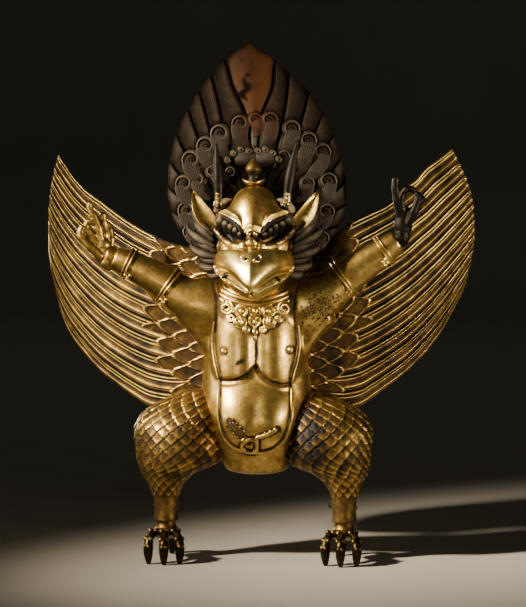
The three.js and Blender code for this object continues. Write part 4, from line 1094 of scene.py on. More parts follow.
# The same places, and the relief that the finish reads there: the ribs carry painted highlights and the
# grooves painted shade.
FEATHER_SHADES = [
    [0, 0.0], [0.035, 0.06], [0.08, 0.6], [0.115, 1.05], [0.15, 1.05], [0.19, 0.4], [0.225, 0.12],
    [0.26, 0.4], [0.3, 1.0], [0.335, 0.9], [0.38, 0.3], [0.46, 0.24], [0.6, 0.28], [0.7, 0.6], [0.755, 0.8],
    [0.81, 0.18], [0.86, 0.28], [0.92, 0.32], [0.96, 0.06], [1, 0.0],
]
# Places across a feather where its section is read: close together on the ribs.
FEATHER_STOPS = [
    0.0, 0.03, 0.06, 0.09, 0.115, 0.15, 0.18, 0.205, 0.23, 0.255, 0.28, 0.305, 0.335, 0.365, 0.4, 0.45, 0.5,
    0.55, 0.6, 0.65, 0.7, 0.755, 0.79, 0.82, 0.86, 0.9, 0.935, 0.965,
]


def eased(line):
    """The same line without its small bends: its ends stay, and between them the way off the straight line is
    s (1 - s) times the parabola that fits it best."""
    s = np.linspace(0, 1, len(line))[:, None]
    straight = (1 - s) * line[0] + s * line[-1]
    basis = s * (1 - s) * np.concatenate([np.ones_like(s), s, s * s], axis=1)
    return straight + basis @ np.linalg.lstsq(basis, line - straight, rcond=None)[0]


def wing_points(name, u, t, rise):
    """A wing between its four edges: the mean of the surface between leading and trailing edge and of the
    surface between root and end, less the corners' own share. The small bends of the edges fade away inwards
    with the fifth power. It sweeps back outwards and bows forwards."""
    edges = {key: curve(line, 500) for key, line in WING_EDGES[name].items()}
    root = np.array([WING_EDGES[name]["top"][0], WING_EDGES[name]["bottom"][0]], float)
    top, end, bottom = eased(edges["top"]), edges["end"], eased(edges["bottom"])
    u, t = np.broadcast_arrays(u, t)
    u3, t3 = u[..., None], t[..., None]
    plane = (1 - t3) * share_of(top, u) + t3 * share_of(bottom, u)
    plane = plane + (1 - u3) * share_of(root, t) + u3 * share_of(end, t)
    plane = plane - (1 - u3) * ((1 - t3) * top[0] + t3 * bottom[0])
    plane = plane - u3 * ((1 - t3) * top[-1] + t3 * bottom[-1])
    plane = plane + (1 - t3) ** 5 * share_of(edges["top"] - top, u)
    plane = plane + t3**5 * share_of(edges["bottom"] - bottom, u)
    camber = WING_CAMBER * np.sin(np.pi * t) * smooth(u, 0.2, 0.6)
    y = WING_DEPTH + WING_SWEEP * np.maximum(0, plane[..., 0] - WING_ROOT) - camber
    return np.stack([SIDES[name] * plane[..., 0], y - rise, plane[..., 1]], axis=-1)


def wing_body(name, ridge, covert, sheet):
    """A wing: long feathers with chased ribs, and leaf-shaped coverts that overlap them near the body. Its
    back shows the same forms shallow and reversed, as beaten sheet does."""
    u = np.linspace(WING_START, 1, 132)[:, None]
    t = (np.arange(FEATHERS)[:, None] + FEATHER_STOPS).ravel()[None, :] / FEATHERS
    s = np.mod(t * FEATHERS, 1)
    barbs = u * WING_LENGTH - 20 * np.abs(s - 0.22)
    feather = ridge * table(FEATHER_ROWS, s)[..., 0] * (0.75 + 0.25 * smooth(u, 0.25, 0.5))
    gone, left, _, row = tiles(t * COVERTS_DOWN, u / COVERT_STEP, 1.8)
    over = row * COVERT_STEP < table(COVERT_END, t)[..., 0] - COVERT_STEP
    rim = bell(left - 0.09, 0.05)
    scale = covert * (0.3 + 0.55 * gone + 0.24 * rim) * smooth(left, 0, 0.07)
    rise = np.where(over, np.maximum(scale, feather * 0.2), feather)
    # Painted light on the coverts: a bright rim along each free edge as a highlight, and a darker band inside
    # it as shade.
    plain = 0.26 * smooth(left, 0.01, 0.06) - 0.18 * bell(left - 0.3, 0.16) + 0.14 * smooth(gone, 0.3, 0.9)
    scale_shade = np.clip(0.02 + plain + 0.85 * rim, 0, 1)
    shade = np.where(over, scale_shade, table(FEATHER_SHADES, s)[..., 0])
    strand = np.where(over, 0, barbs)
    border = np.minimum(np.minimum(t, 1 - t) * 40, (1 - u) * 34)
    rise = rise * smooth(border, 0, 1) + 1.1 * bell(border - 0.35, 0.4)
    front = wing_points(name, u, t, rise)
    within = smooth(border, 0, 2)
    back = wing_points(name, u, t, -sheet - 0.9 * within + 0.35 * (rise - 2) * within)
    tint = 0.3 * smooth(0.45 - u, 0, 0.3) + 0 * shade
    return sheet_body(front, back, (strand, strand), (shade, 0.35 + 0 * shade), (tint, tint))


# Head

HEAD_AXIS = 1.0
# Edges and ridges of the beak and the jaw from the root to the tip: share of the way, then a place.
BEAK_RIDGE = [
    [0, 0, -97, 424], [0.12, 0, -101, 422], [0.24, 0, -106, 418], [0.36, 0, -112, 412],
    [0.48, 0, -117.5, 405], [0.6, 0, -121.5, 397.5], [0.72, 0, -125, 389], [0.84, 0, -127, 380],
    [0.93, 0, -125.5, 373], [1, 0, -122.5, 368],
]
BEAK_EDGE = [
    [0, 31, -84, 423], [0.12, 43, -75, 421], [0.24, 50, -68, 415], [0.36, 53, -62, 407],
    [0.48, 52.5, -60, 399], [0.6, 46, -64, 392], [0.72, 32, -82, 389.5], [0.84, 19, -99, 382],
    [0.93, 8.5, -113, 374], [1, 1.2, -121, 368],
]
JAW_EDGE = [
    [0, 51, -58, 391], [0.3, 43, -68, 386], [0.6, 29, -84, 379], [0.85, 14, -101, 372], [1, 2, -113, 366],
]
JAW_KEEL = [
    [0, 0, -40, 372], [0.3, 0, -66, 362], [0.6, 0, -84, 357.5], [0.85, 0, -97, 357], [1, 0, -106, 359.5],
]
# Outline of the cap as places across and up: its edge over the brows from the middle out, then over the top.
CAP_MIDDLE = 471.0
CAP_EDGE = [
    [0, 447], [5, 446.5], [9.5, 444.5], [12.8, 443], [15.5, 449.5], [18.5, 455], [24, 460], [33, 464.5],
    [44.5, 469],
]
CAP_TOP = [
    [46.5, 471], [41, 474], [36, 475.5], [32, 479], [29, 485], [25, 493], [17.5, 500.5], [9, 504.5],
    [0, 505.5],
]
# Lines on the right half of the face: the band under the eye by share, and the rest by place.
BAND_LINE = [[0, 8, -95.5, 425.5], [0.35, 23, -86, 426], [0.7, 36, -72, 432], [1, 54, -54, 450]]
CHEEK_LINE = [[7, -88, 428], [20, -83, 427], [33, -74, 431], [45, -62, 440], [54, -50, 452]]
EAR_LINE = [[50, -53, 451], [61, -52, 460], [72, -48, 475], [83, -40, 498]]
NOSTRIL_LINE = [
    [3.2, -112.5, 411.5], [5.0, -113, 408.5], [9, -110.5, 408], [12.3, -107, 410.5], [12.6, -105, 414.5],
    [9.4, -105, 416],
]
BROW_SHADOW = [[13.5, -90.5, 443], [17.5, -87, 451], [24, -80.5, 457.5], [33, -71, 462], [45, -58, 466.5]]
PETAL_LINE = [[52, -50, 470], [46, -54, 479], [37, -55, 486], [29, -53, 487.5]]
# Lobes under the brow: middle and radii.
LIDS = [
    ((15.8, -88, 440), (3.6, 4.0, 6.0)), ((21.5, -84, 444), (4.2, 4.4, 8.0)),
    ((28, -78, 447.5), (4.8, 4.6, 9.0)), ((35.5, -71, 451), (5.4, 4.6, 9.4)),
    ((43.5, -63, 455), (6.0, 4.6, 9.0)),
]
# Locks of the cheek: root, and how far they reach across, back and up: flat at the jaw, steeper at the ear.
CHEEK_LOCKS = [
    ((40, -56, 393), (22, 22, -4)), ((43, -59, 399), (33, 25, 3)), ((45, -61, 405.5), (30, 24, 11)),
    ((47, -62, 412), (41, 28, 14)), ((49, -61, 418.5), (34, 25, 24)), ((50.5, -60, 425), (42, 28, 26)),
    ((52, -58, 432), (31, 23, 34)), ((53, -56, 439), (32, 25, 35)),
]
LOCK_BEND = [[0, 0, 0], [1, -6, -3], [2, -3, -1], [-2, 1, 7]]  # off the straight, at four places
LOCK_WIDTH = 6.2
LOCK_ROWS = [[0, 0.6], [0.3, 0.95], [0.55, 0.95], [0.8, 0.62], [0.94, 0.25], [1, 0.06]]


def on_head(points, side=1):
    """Points drawn for the viewer's right half of the head, on either side of its middle."""
    return mirrored(points, side) + [HEAD_AXIS, 0, 0]


def keeled_body(edge_rows, ridge_rows, thickness, keel):
    """Half of a beak, upper or lower: arches from edge to edge over the ridge. Across, the height falls as
    1 - k out - (1 - k) out^3.5, so that two nearly flat cheeks meet in a keel."""
    s = np.linspace(0, 1, 110)
    edge, ridge = table(edge_rows, s), table(ridge_rows, s)
    out = np.sin(np.linspace(-np.pi / 2, np.pi / 2, 84))
    lift = 1 - keel * np.abs(out) - (1 - keel) * np.abs(out) ** 3.5
    x = out * edge[:, :1]
    y = edge[:, 1:2] + (ridge[:, 1:2] - edge[:, 1:2]) * lift
    z = edge[:, 2:3] + (ridge[:, 2:3] - edge[:, 2:3]) * lift
    front = np.stack([x, y, z], axis=-1)
    back = front + np.array([0, 1, 0]) * (thickness * (1 - 0.5 * lift))[..., None]
    back[..., 2] = edge[:, 2:3] + (z - edge[:, 2:3]) * 0.6
    return body(on_head(np.concatenate([front, back[:, ::-1]], axis=1)))


def cap_body():
    """The cap over skull and brows: an ellipsoid and a brow shelf on a polar grid, the nearer to the viewer
    of the two at each place, swelling over each eye, with a raised rim along its lower edge. Its back is a
    fifth of the front's rings, thrown backwards."""
    angle = circle(176)
    half = curve(CAP_EDGE + CAP_TOP, 300)
    outline = np.concatenate([half, half[::-1] * [-1, 1]]) - [0, CAP_MIDDLE]
    bearing = np.arctan2(outline[:, 0], outline[:, 1])
    order = np.argsort(bearing)
    reach = np.interp(angle, bearing[order], np.hypot(*outline[order].T), period=2 * np.pi)
    share = np.linspace(0.02, 1, 46)[:, None]
    x = share * reach * np.sin(angle)
    z = CAP_MIDDLE + share * reach * np.cos(angle)
    skull = -46 - 41 * np.sqrt(np.maximum(0.02, 1 - (x / 36) ** 2 - ((z - 452) / 55) ** 2))
    height = z - np.interp(np.abs(x), *np.array(CAP_EDGE).T)
    shelf = -93 + 34 * (np.abs(x) / 46) ** 1.25 + 1.0 * np.maximum(0, height - 8)
    shelf = shelf - 3.2 * bell(np.hypot((np.abs(x) - 26) / 13, (z - 468) / 8), 1)
    # The logarithm rounds the seam between skull and shelf over about this distance.
    soft = 3.4
    front = -soft * np.log(np.exp(-np.minimum(skull, 0) / soft) + np.exp(-np.minimum(shelf, 0) / soft))
    rim = (1 - smooth(z, 464, 476)) * bell(share - 0.97, 0.02)
    rings = np.stack([x, front - 0.9 * rim, z], axis=-1)
    back = rings[::-5] + [0, 14.0, 0]
    # The rim is painted lighter as a highlight, and a patch over the middle of the brows is painted darker as
    # shade.
    shade = 0.74 + 0.2 * rim - 0.3 * bell(np.hypot((x - 6) / 15, (z - 474) / 24), 1)
    both = np.concatenate([np.clip(shade, 0, 1), 0.3 + 0 * shade[::-5]])
    return body(on_head(np.concatenate([rings, back])), lie_of(both.shape, relief=both))


def head_skin():
    """Skull, snout, beak, jaw and neck in one skin, with a low ledge of cheek under each eye."""
    parts = [
        ball(on_head([0, -44, 448]), (36, 39, 56.5), across=60, down=50),
        ball(on_head([0, -42, 424]), (51, 33, 36), across=60, down=40),
        bar(on_head(curve([[0, 2, 392], [0, -8, 410], [0, -20, 434]], 16)), 35, 28, 40, ends=0),
        keeled_body(BEAK_EDGE, BEAK_RIDGE, 12, 0.3),
        keeled_body(JAW_EDGE, JAW_KEEL, 9, 0.1),
        ball(on_head([0, -90, 431]), (9, 9, 8)),
        bar(on_head(curve([[0, -84, 424], [0, -87, 436], [0, -79, 449]], 16)), 9, 8, 20),
    ]
    for side in (-1, 1):
        parts.append(ball(on_head([40, -46, 462], side), (13, 12, 15)))
        parts.append(bar(on_head(curve(CHEEK_LINE, 30), side), 5.0, 4.6, 14))
        parts.append(ball(on_head([11, -91, 429], side), (8, 5.5, 5), -side * 0.3))
    points, quads = fused(parts, 1.55)
    points = relaxed(points, quads, 2, 0.5, 0.5)
    x, y, z = points.T
    made = skin_body(points, quads, 1.5)
    # Painted highlight along the beak's keel and over the whole beak, and painted shade in the hollow under
    # the cap's brow.
    keel = smooth(-y, 90, 100) * bell(x - HEAD_AXIS, 1.6) * (z < 422) * (z > 366)
    beak = smooth(-y, 58, 66) * (1 - smooth(z, 421, 426))
    hollow = smooth(z, 430, 436) * smooth(-y, 40, 50)
    made[2][:, RELIEF] = np.clip(made[2][:, RELIEF] + 0.3 * keel + 0.22 * beak - 0.55 * hollow, 0, 1)
    return made


def ear_body(side):
    """An ear: a dished leaf with a raised rim, standing out and up from the temple."""
    share = np.linspace(0, 1, 44)
    width = 11.2 * np.sin(np.pi * (0.2 + 0.79 * share**0.9)) ** 0.8 + 0.3
    return leaf(curve(on_head(EAR_LINE, side), 44), width, 3.6, 2.6, (side * -0.1, -1, 0.25), 18, 0.78)


def lip_bodies():
    """Lips and cheek bands: a flat band along the mouth between two thin rims, a raised comma at each
    nostril, and under each eye a band whose upper edge curls."""
    made = []
    for side in (-1, 1):
        top = on_head(table(BEAK_EDGE, np.linspace(0.46, 0.99, 70)) + [0, -1.2, 0.2], side)
        bottom = on_head(table(JAW_EDGE, np.linspace(0, 1, 70)) + [0, -1.8, 1.4], side)
        made.append(bar(top, 1.5, 1.7, 10, relief=0.95))
        made.append(bar(bottom, 1.4, 1.7, 10, relief=0.9))
        made.append(bar((top + bottom) / 2 + [0, 1.6, 0], 3.0, 1.5, 12, relief=0.45))
        made.append(bar(on_head(curve(NOSTRIL_LINE, 40), side), 1.6, 2.2, 10, relief=0.95))
        wide = 4.4 * np.sin(np.pi * np.linspace(0.12, 0.97, 60)) ** 0.6 + 0.4
        band = table(BAND_LINE, np.linspace(0, 1, 60)) + [0, -1.0, 0]
        made.append(bar(on_head(band, side), wide, 2.6, 12, relief=0.8))
        turn = np.linspace(0, 1, 24)
        reach = 2.6 * (1 - 0.6 * turn)
        angle = 4 * turn - 2.6
        curl = np.stack([reach * np.cos(angle), -2.4 + 0 * turn, 0.8 + reach * np.sin(angle)], axis=-1)
        for share in (0.28, 0.46, 0.64, 0.8, 0.94):
            made.append(bar(on_head(table(BAND_LINE, share) + curl, side), 1.1, 1.8, 8, relief=0.95))
        for place, radii in (((4.6, -95.5, 443.5), (3.2, 3.2, 3.2)), ((3.0, -95.5, 433.5), (2.6, 2.8, 2.6))):
            made.append(ball(on_head(place, side), radii, across=16, down=10, relief=0.9))
    return made


def painted_shadow_bodies():
    """What looks black on the head, all of it painted shade on black bodies: the shadow lines under the
    brows, and the shade inside the nostrils and the two holes of the mouth."""
    made = []
    for side in (-1, 1):
        width = 3.0 * np.sin(np.pi * np.linspace(0.06, 0.95, 40)) ** 0.6
        made.append(bar(on_head(curve(BROW_SHADOW, 40), side), width, 3.0, 12, relief=0.1))
        made.append(ball(on_head([7.4, -111.6, 411.6], side), (2.5, 2.6, 2.0), relief=0.1))
    made.append(ball([-35, -79.5, 388], (6.4, 3.2, 3.1), 0.5, relief=0.1))
    made.append(ball([32, -83, 384.5], (6.4, 3.2, 3.0), -0.5, relief=0.1))
    return made


def tuft_bodies():
    """Tufts of hair: five combed lobes under each brow, a petal before the foot of each horn and eight
    pointed locks that fan out behind each cheek."""
    made = []
    for side in (-1, 1):
        for place, radii in LIDS:
            lobe = ball(on_head(place, side), radii, -side * 0.35, 20, 14)
            lobe[2][:, STRAND] = lobe[0][:, 0] - side * 0.6 * lobe[0][:, 2]
            lobe[2][:, RELIEF] = 0.12 + 0.62 * smooth(lobe[0][:, 2], place[2], place[2] + 0.9 * radii[2])
            made.append(lobe)
        wide = 5.6 * np.sin(np.pi * np.linspace(0.2, 0.97, 24))
        made.append(bar(on_head(curve(PETAL_LINE, 24), side), wide, 3.0, 20, ends=0.06))
        share = np.linspace(0, 1, 30)
        width = LOCK_WIDTH * table(LOCK_ROWS, share)[:, 0]
        turn = circle(16)
        edge = 0.12 + 0.46 * np.abs(np.cos(turn)) ** 4
        shade = edge * (0.45 + 0.5 * bell(share - 0.5, 0.35))[:, None]
        for root, reach in CHEEK_LOCKS:
            line = root + np.outer((0, 0.45, 0.85, 1), reach) + LOCK_BEND
            made.append(bar(on_head(curve(line, 30), side), width, 2.6, 16, ends=0.06, relief=shade))
    return made


# Horns and topknot

HORN_PATH = {
    "left": [[45.6, -52.5, 474], [46.8, -50, 506], [48.5, -47, 532], [50.5, -43, 561]],
    "right": [[43, -52.5, 474], [46, -51, 504], [51, -48, 534], [58, -43, 566]],
}
HORN_ROWS = [[0, 5.4], [0.2, 5.8], [0.42, 7.4], [0.63, 6.3], [0.86, 3.5], [1, 1.4]]
HORN_BEADS = 7
TOPKNOT_PLACE = (-1.0, -40.0, 503.0)
# Radius, height over the place above, and relief for the finish.
TOPKNOT_ROWS = [
    [1, -1, 0.35], [9, 0.2, 0.35], [12.5, 2.0, 0.35], [15.4, 5.0, 0.6], [15.8, 7.4, 0.85], [14.0, 8.4, 0.75],
    [11, 6.4, 0.05], [8.4, 7.8, 0.03], [7.0, 11.5, 0.03], [6.6, 16, 0.05], [8.0, 18.5, 0.08],
    [10.6, 22.5, 0.2], [10.8, 26, 0.3], [8.2, 31, 0.3], [4.4, 35.5, 0.35], [1.4, 39, 0.4], [0.2, 40, 0.4],
]


def horn_bodies(name):
    """A horn: it swells above its root and tapers to the point, leaning out as it rises."""
    share = np.linspace(0, 1, 80)
    thick = table(HORN_ROWS, share)[:, 0]
    # The horn is painted lighter near its foot and over its swell, as painted highlights.
    shade = 0.42 + 0.2 * bell(share - 0.35, 0.2) + 0.45 * bell(share - 0.12, 0.1)
    path = curve(mirrored(HORN_PATH[name], SIDES[name]), 80)
    return [bar(path, thick, thick, 24, ends=0.03, relief=shade[:, None])]


def horn_root_bodies():
    """Gold at the foot of each horn: a wavy ring of beads and two more above its front."""
    made = []
    for name, side in SIDES.items():
        foot = mirrored(HORN_PATH[name], side)[0] + [0, 0, 8]
        turn = 2 * np.pi * np.arange(HORN_BEADS) / HORN_BEADS
        ring = np.stack([6.4 * np.cos(turn), 6.4 * np.sin(turn), 1.5 * np.sin(3 * turn)], axis=-1)
        beads = [(spot, (2.3, 2.3, 2.3)) for spot in ring]
        beads += [((side * 2.0, -6.0, z), (2.2, 2.0, 2.2)) for z in (7.0, 13.0)]
        made += [ball(foot + spot, radii, across=12, down=8) for spot, radii in beads]
    return made


def topknot_bodies():
    """The topknot: a flared bowl whose rim dips in the middle, a waist and a pointed jewel. The rim is
    painted bright as a highlight and the waist nearly black as shade.
    """
    x, _, z = TOPKNOT_PLACE
    rows = np.array(TOPKNOT_ROWS)
    profile = curve(rows[:, :2], 100)
    relief = np.interp(profile[:, 1], rows[:, 1], rows[:, 2])
    points, quads, lie = turned(profile, TOPKNOT_PLACE, 48, relief=relief)
    points[:, 2] += 0.02 * (points[:, 0] - x) ** 2 * (1 - smooth(points[:, 2], z + 8, z + 16))
    return [(points, quads, lie)]


# Crest of hair

# Right half of the outline as places across and up, before the drift.
CREST_OUTLINE = [
    [65, 397], [79, 412], [92, 427], [106, 445], [116, 465], [121, 487], [121, 513], [117, 540], [108.5, 571],
    [96.5, 598], [80.5, 625], [55.5, 655], [26, 682], [0, 700],
]
CREST_CENTRE = 456.0  # height that the locks fan out from
# Grooves between the long locks as degrees from upright, half way out; the middle leaf lies between the two
# in the middle.
LOCK_EDGES = np.array([
    -133, -118, -104, -89, -74, -60, -46, -33.5, -25, -17, -8.6, 9.2, 15.5, 25.5, 35.3, 46, 58, 71, 85, 99,
    115, 133,
])
# Places across a lock where its section is read: close together at its grooves.
LOCK_STOPS = [0.0, 0.025, 0.07, 0.13, 0.21, 0.3, 0.4, 0.5, 0.6, 0.7, 0.79, 0.87, 0.93, 0.975]
VOLUTE_TURNS = 1.3
# Volutes: across, height, radius, then where the lock starts; a negative hand winds with the clock.
VOLUTES = [
    [-22.3, 588.8, 12.5, -7, 553, -1], [-2.8, 593.9, 10.0, -2, 570, 1], [16.6, 593.4, 12.0, 3, 553, 1],
    [-49.9, 575.4, 14.0, -31, 543, -1], [-69.3, 559.0, 14.0, -50, 526, -1],
    [-89.7, 540.0, 14.0, -64, 508, -1], [45.9, 582.0, 12.5, 28, 548, 1], [68.1, 566.4, 12.5, 46, 529, 1],
    [87.0, 551.0, 12.5, 59, 511, 1], [-99.3, 507.7, 13.0, -78, 474, -1],
    [-79.8, 513.0, 10.5, -60, 486, -1], [-95.8, 471.8, 13.0, -68, 445, -1],
    [-90.6, 443.6, 10.5, -62, 426, -1], [95.0, 511.6, 13.0, 72, 474, 1], [67.4, 508.7, 10.5, 52, 482, 1],
    [92.9, 470.6, 12.0, 66, 442, 1], [87.8, 435.3, 10.0, 62, 418, 1], [60.0, 446.0, 7.5, 50, 436, 1],
    [-60.0, 524.0, 10.5, -44, 498, 1], [-34.4, 523.0, 8.5, -32, 508, -1],
    [19.6, 535.0, 7.5, 16, 522, -1], [36.0, 545.0, 9.0, 26, 525, 1],
]
VOLUTE_ROWS = [[0, 0.25], [0.35, 0.62], [0.75, 0.94], [1, 0.94]]  # share of a lock, share of its radius
# Two lobes over the topknot: across, height, half width, half height. Curls along their tops: across, height.
CROWN_LOBES = [(-13, 540, 16.5, 13.5), (12, 541, 15.5, 13)]
CROWN_CURLS = [(-30, 549), (-20, 554), (-9, 552), (3, 552), (13, 554), (23, 549), (-38, 540), (31, 541)]


def lock_angles(share):
    """Bearings of the grooves at a share of the way out: the locks rise more upright as they near the rim,
    by 28 sin(0.9 edge) degrees over the whole way, and the middle leaf narrows towards its foot."""
    edges = LOCK_EDGES[:, None]
    free = 1 - smooth(np.abs(edges), 95, 132)
    lean = 28 * np.sin(np.radians(0.9 * edges)) * (share - 0.78) * smooth(share, 0.1, 0.5) * free
    narrow = 1 - 0.62 * smooth(0.87 - share, 0, 0.36)
    return np.where(np.abs(edges) < 10, edges * narrow, edges - lean)


def crest_drift(z):
    """Sideways drift of the crest towards the viewer's left as it rises."""
    return -5 * smooth(z, 430, 600) - 10 * smooth(z, 600, 720)


def crest_depth(x, z):
    """Depth of the crest: it leans back with the 1.5th power of the height and sweeps back with x squared."""
    return -3 + 44 * (np.maximum(0, np.asarray(z, float) - 450) / 250) ** 1.5 + 0.0021 * np.asarray(x) ** 2


def crest_body(ridge, sheet):
    """The leaf of hair: rows between an oval behind the skull and the outline, columns that keep to the
    locks. Each long lock rises steeply from one groove and falls away slowly to the next."""
    half = curve(CREST_OUTLINE, 400) - [0, CREST_CENTRE]
    bearing = np.degrees(np.arctan2(*half.T))
    order = np.argsort(bearing)
    last = bearing.max()
    share = np.linspace(0, 1, 56)[None, :]
    edges = lock_angles(share) * last / LOCK_EDGES[-1]
    low, high = (np.repeat(part, len(LOCK_STOPS), axis=0) for part in (edges[:-1], edges[1:]))
    between = np.repeat(LOCK_EDGES[:-1] + LOCK_EDGES[1:], len(LOCK_STOPS))[:, None]
    middle = np.abs(between) < 8
    s = np.tile(LOCK_STOPS, len(LOCK_EDGES) - 1)[:, None]
    angle = np.clip(low + (high - low) * s, -last, last)
    turn = np.radians(angle)
    reach = np.interp(np.abs(angle), bearing[order], np.hypot(*half[order].T))
    core = np.hypot(9 * np.sin(turn), 13 * np.cos(turn))
    radius = core + (reach - core) * share
    s = np.where(between < 0, 1 - s, s)
    rounded = smooth(s, 0, 0.12) * (1 - 0.6 * s**1.4) * (1 - 0.8 * smooth(s, 0.88, 1.0))
    flat = 0.3 * smooth(s, 0, 0.1) * (1 - smooth(s, 0.9, 1)) + 0.3 * bell(s - 0.5, 0.3)
    edge = smooth(1 - share, 0, 0.06)
    rise = ridge * np.where(middle, flat, rounded) * smooth(share, 0.1, 0.4) * (0.35 + 0.65 * edge)
    x = radius * np.sin(turn)
    z = CREST_CENTRE + radius * np.cos(turn)
    across = x + crest_drift(z)
    depth = crest_depth(x, z)
    front = np.stack([across, depth - rise, z], axis=-1)
    rim = smooth(1 - share, 0, 0.1)
    back = np.stack([across, depth + sheet * (0.4 + 0.6 * rim) - 0.3 * rise * rim, z], axis=-1)
    lock_shade = 0.7 * smooth(s, 0.02, 0.12) * (1 - 0.6 * smooth(s, 0.2, 0.9)) * (1 - smooth(s, 0.88, 1))
    leaf_shade = 0.1 + 0.62 * smooth(s, 0, 0.1) * (1 - smooth(s, 0.9, 1))
    shade = np.where(middle, leaf_shade, 0.02 + lock_shade)
    # Painted shade: it is darker round the volutes, towards the middle behind the horns and at the rim, and
    # the long locks darken upwards, as the light falls off away from the face.
    near = np.full(x.shape, 9.0)
    for row in VOLUTES:
        near = np.minimum(near, np.hypot(across - row[0], z - row[1]) / row[2])
    shade = shade * (0.1 + 0.9 * smooth(near, 0.95, 1.45)) * (0.03 + 0.97 * smooth(radius, 74, 108))
    shade = shade * (0.55 + 0.45 * smooth(1 - share, 0.0, 0.05))
    shade = shade * np.where(middle, 1, 1 - 0.34 * smooth(z, 500, 600))
    # A wavy black stain lies on the leaf near its top.
    stain = np.hypot((across + 17 + 4 * np.sin(z / 3.1)) / 6, (z - 636 - 0.8 * (across + 17)) / 21)
    shade = shade * (1 - 0.85 * (1 - smooth(stain, 0.5, 1.2)))
    strand = np.where(middle, 0.0, s * (high - low) * np.pi / 180 * 150)
    tint = np.where(middle, 1.0, 0.34 * bell(angle + 2, 24)) * smooth(radius, 118, 135)
    return sheet_body(front, back, (strand, strand), (shade, 0.45 + 0 * shade), (tint, 0 * tint))


def on_crest(x, z, forward):
    """Places on the crest's front at a distance forward of its sheet."""
    inner = x - crest_drift(z)
    return np.stack([x + 0 * z, crest_depth(inner, z) - forward, z + 0 * x], axis=-1)


def volute_body(x, z, radius, hand, tint):
    """A volute: a low dome cut by a spiral groove. The groove's distance from the centre shrinks evenly from
    0.98 to 0.16 radii over 1.3 turns, its width from 0.09 to 0.06 radii and its depth from 4.5 to 2 mm."""
    angle = circle(48)[None, :]
    share = np.sin(np.linspace(0.06, 1, 18) * np.pi / 2)[:, None]
    cut, outside = 0 * share * angle, 0 * share * angle
    for lap in (0, 1):
        way = (angle / (2 * np.pi) + lap) / VOLUTE_TURNS
        groove = 0.98 - 0.82 * way
        depth = (4.5 - 2.5 * way) * (way <= 1) * smooth(way, 0, 0.04)
        cut = np.maximum(cut, depth * bell(share - groove, 0.09 - 0.03 * way))
        outside = np.maximum(outside, bell(share - groove - 0.17, 0.1) * (way <= 1))
    height = 5.0 + 4.2 * np.sqrt(np.clip(1 - share**2, 0, 1)) - cut + 0.8 * outside
    start = -0.75 if hand < 0 else np.pi + 0.75
    bearing = start + hand * angle
    px = x + share * radius * np.cos(bearing)
    pz = z + share * radius * np.sin(bearing)
    front = on_crest(px, pz, height)
    skirt = on_crest(px[-1:], pz[-1:], 0 * px[-1:] + 1.0)
    # Painted shade and highlight: the middle of the dome is painted dark as if it were hollow, the skirt
    # nearly black, and the outer edge lighter.
    shade = 0.5 - 0.26 * cut + 0.34 * outside + 0.2 * bell(share - 0.93, 0.05) - 0.7 * bell(share, 0.26)
    shade = np.clip(shade, 0.02, 1)
    shade = np.concatenate([shade, 0.03 + 0 * angle])
    strand = np.concatenate([share * radius + 0 * angle, radius + 0 * angle])
    return body(np.concatenate([front, skirt]), lie_of(shade.shape, strand, shade, tint))


def lock_bodies(x, z, radius, from_x, from_z, hand):
    """A scroll lock: a combed body that widens from its root to the volute, the volute, and the small ball
    at its centre. Near the horns and the topknot it is painted dark as shade, and its underside nearly black."""
    start, end = np.array([from_x, from_z], float), np.array([x, z], float)
    way = end - start
    length = np.hypot(*way)
    across = np.array([-way[1], way[0]]) / length * hand
    share = np.linspace(0, 1, 28)
    bow = np.sin(np.pi * share)[:, None] * 0.16 * length * -across
    flat = start + np.outer(share, way) + bow + across * -0.06 * radius
    width = radius * table(VOLUTE_ROWS, share)[:, 0]
    rise = 3.0 + 3.0 * smooth(share, 0, 0.6)
    tint = float(0.75 * bell(x + 3, 30) * smooth(z, 560, 590))
    turn = circle(20) - np.pi / 2
    rim = np.abs(np.cos(turn))
    lit = 0.06 + 0.94 * smooth(np.hypot(flat[:, 0], flat[:, 1] - 500), 40, 66)[:, None]
    shade = np.where(np.sin(turn) > -0.1, 0.5 + 0.28 * bell(rim - 0.92, 0.08), 0.03) * lit
    path = on_crest(flat[:, 0], flat[:, 1], rise)
    return [
        bar(path, width, 3.6, len(turn), ends=0.06, tint=tint, relief=shade),
        volute_body(x, z, radius, hand, tint),
        ball(on_crest(x, np.array(z), 7.6), (radius * 0.13, 2.4, radius * 0.13), 0, 12, 8, 0.6, tint),
    ]


def lobe_bodies():
    """Two big combed lobes over the topknot, with small curls along their tops."""
    made = []
    for x, z, wide, high in CROWN_LOBES:
        place = [x, crest_depth(x, z) - 9, z]
        lobe = ball(place, (wide, 7, high), across=40, down=26)
        lobe[2][:, STRAND] = np.hypot(lobe[0][:, 0] - place[0] - 6, lobe[0][:, 2] - place[2] + 10)
        # Painted shade: each lobe is nearly black at its foot and lighter towards its top.
        lobe[2][:, RELIEF] = 0.08 + 0.6 * smooth(lobe[0][:, 2], z - 9, z + 3)
        made.append(lobe)
    turn = np.linspace(0, 1, 40)
    reach = 4.4 * (1 - 0.75 * turn)
    angle = np.pi / 2 + turn * 3 * np.pi
    for x, z in CROWN_CURLS:
        px, pz = x + reach * np.cos(angle), z + reach * np.sin(angle)
        made.append(bar(np.stack([px, crest_depth(px, pz) - 14, pz], axis=-1), 1.6, 2.2, 8))
    return made


# Settings


def colour_property(name, description, code):
    """A colour that a user may change, given as an sRGB hex value."""
    return bpy.props.FloatVectorProperty(
        name=name, description=description, subtype="COLOR", size=3, min=0.0, max=1.0, default=linear(code)
    )


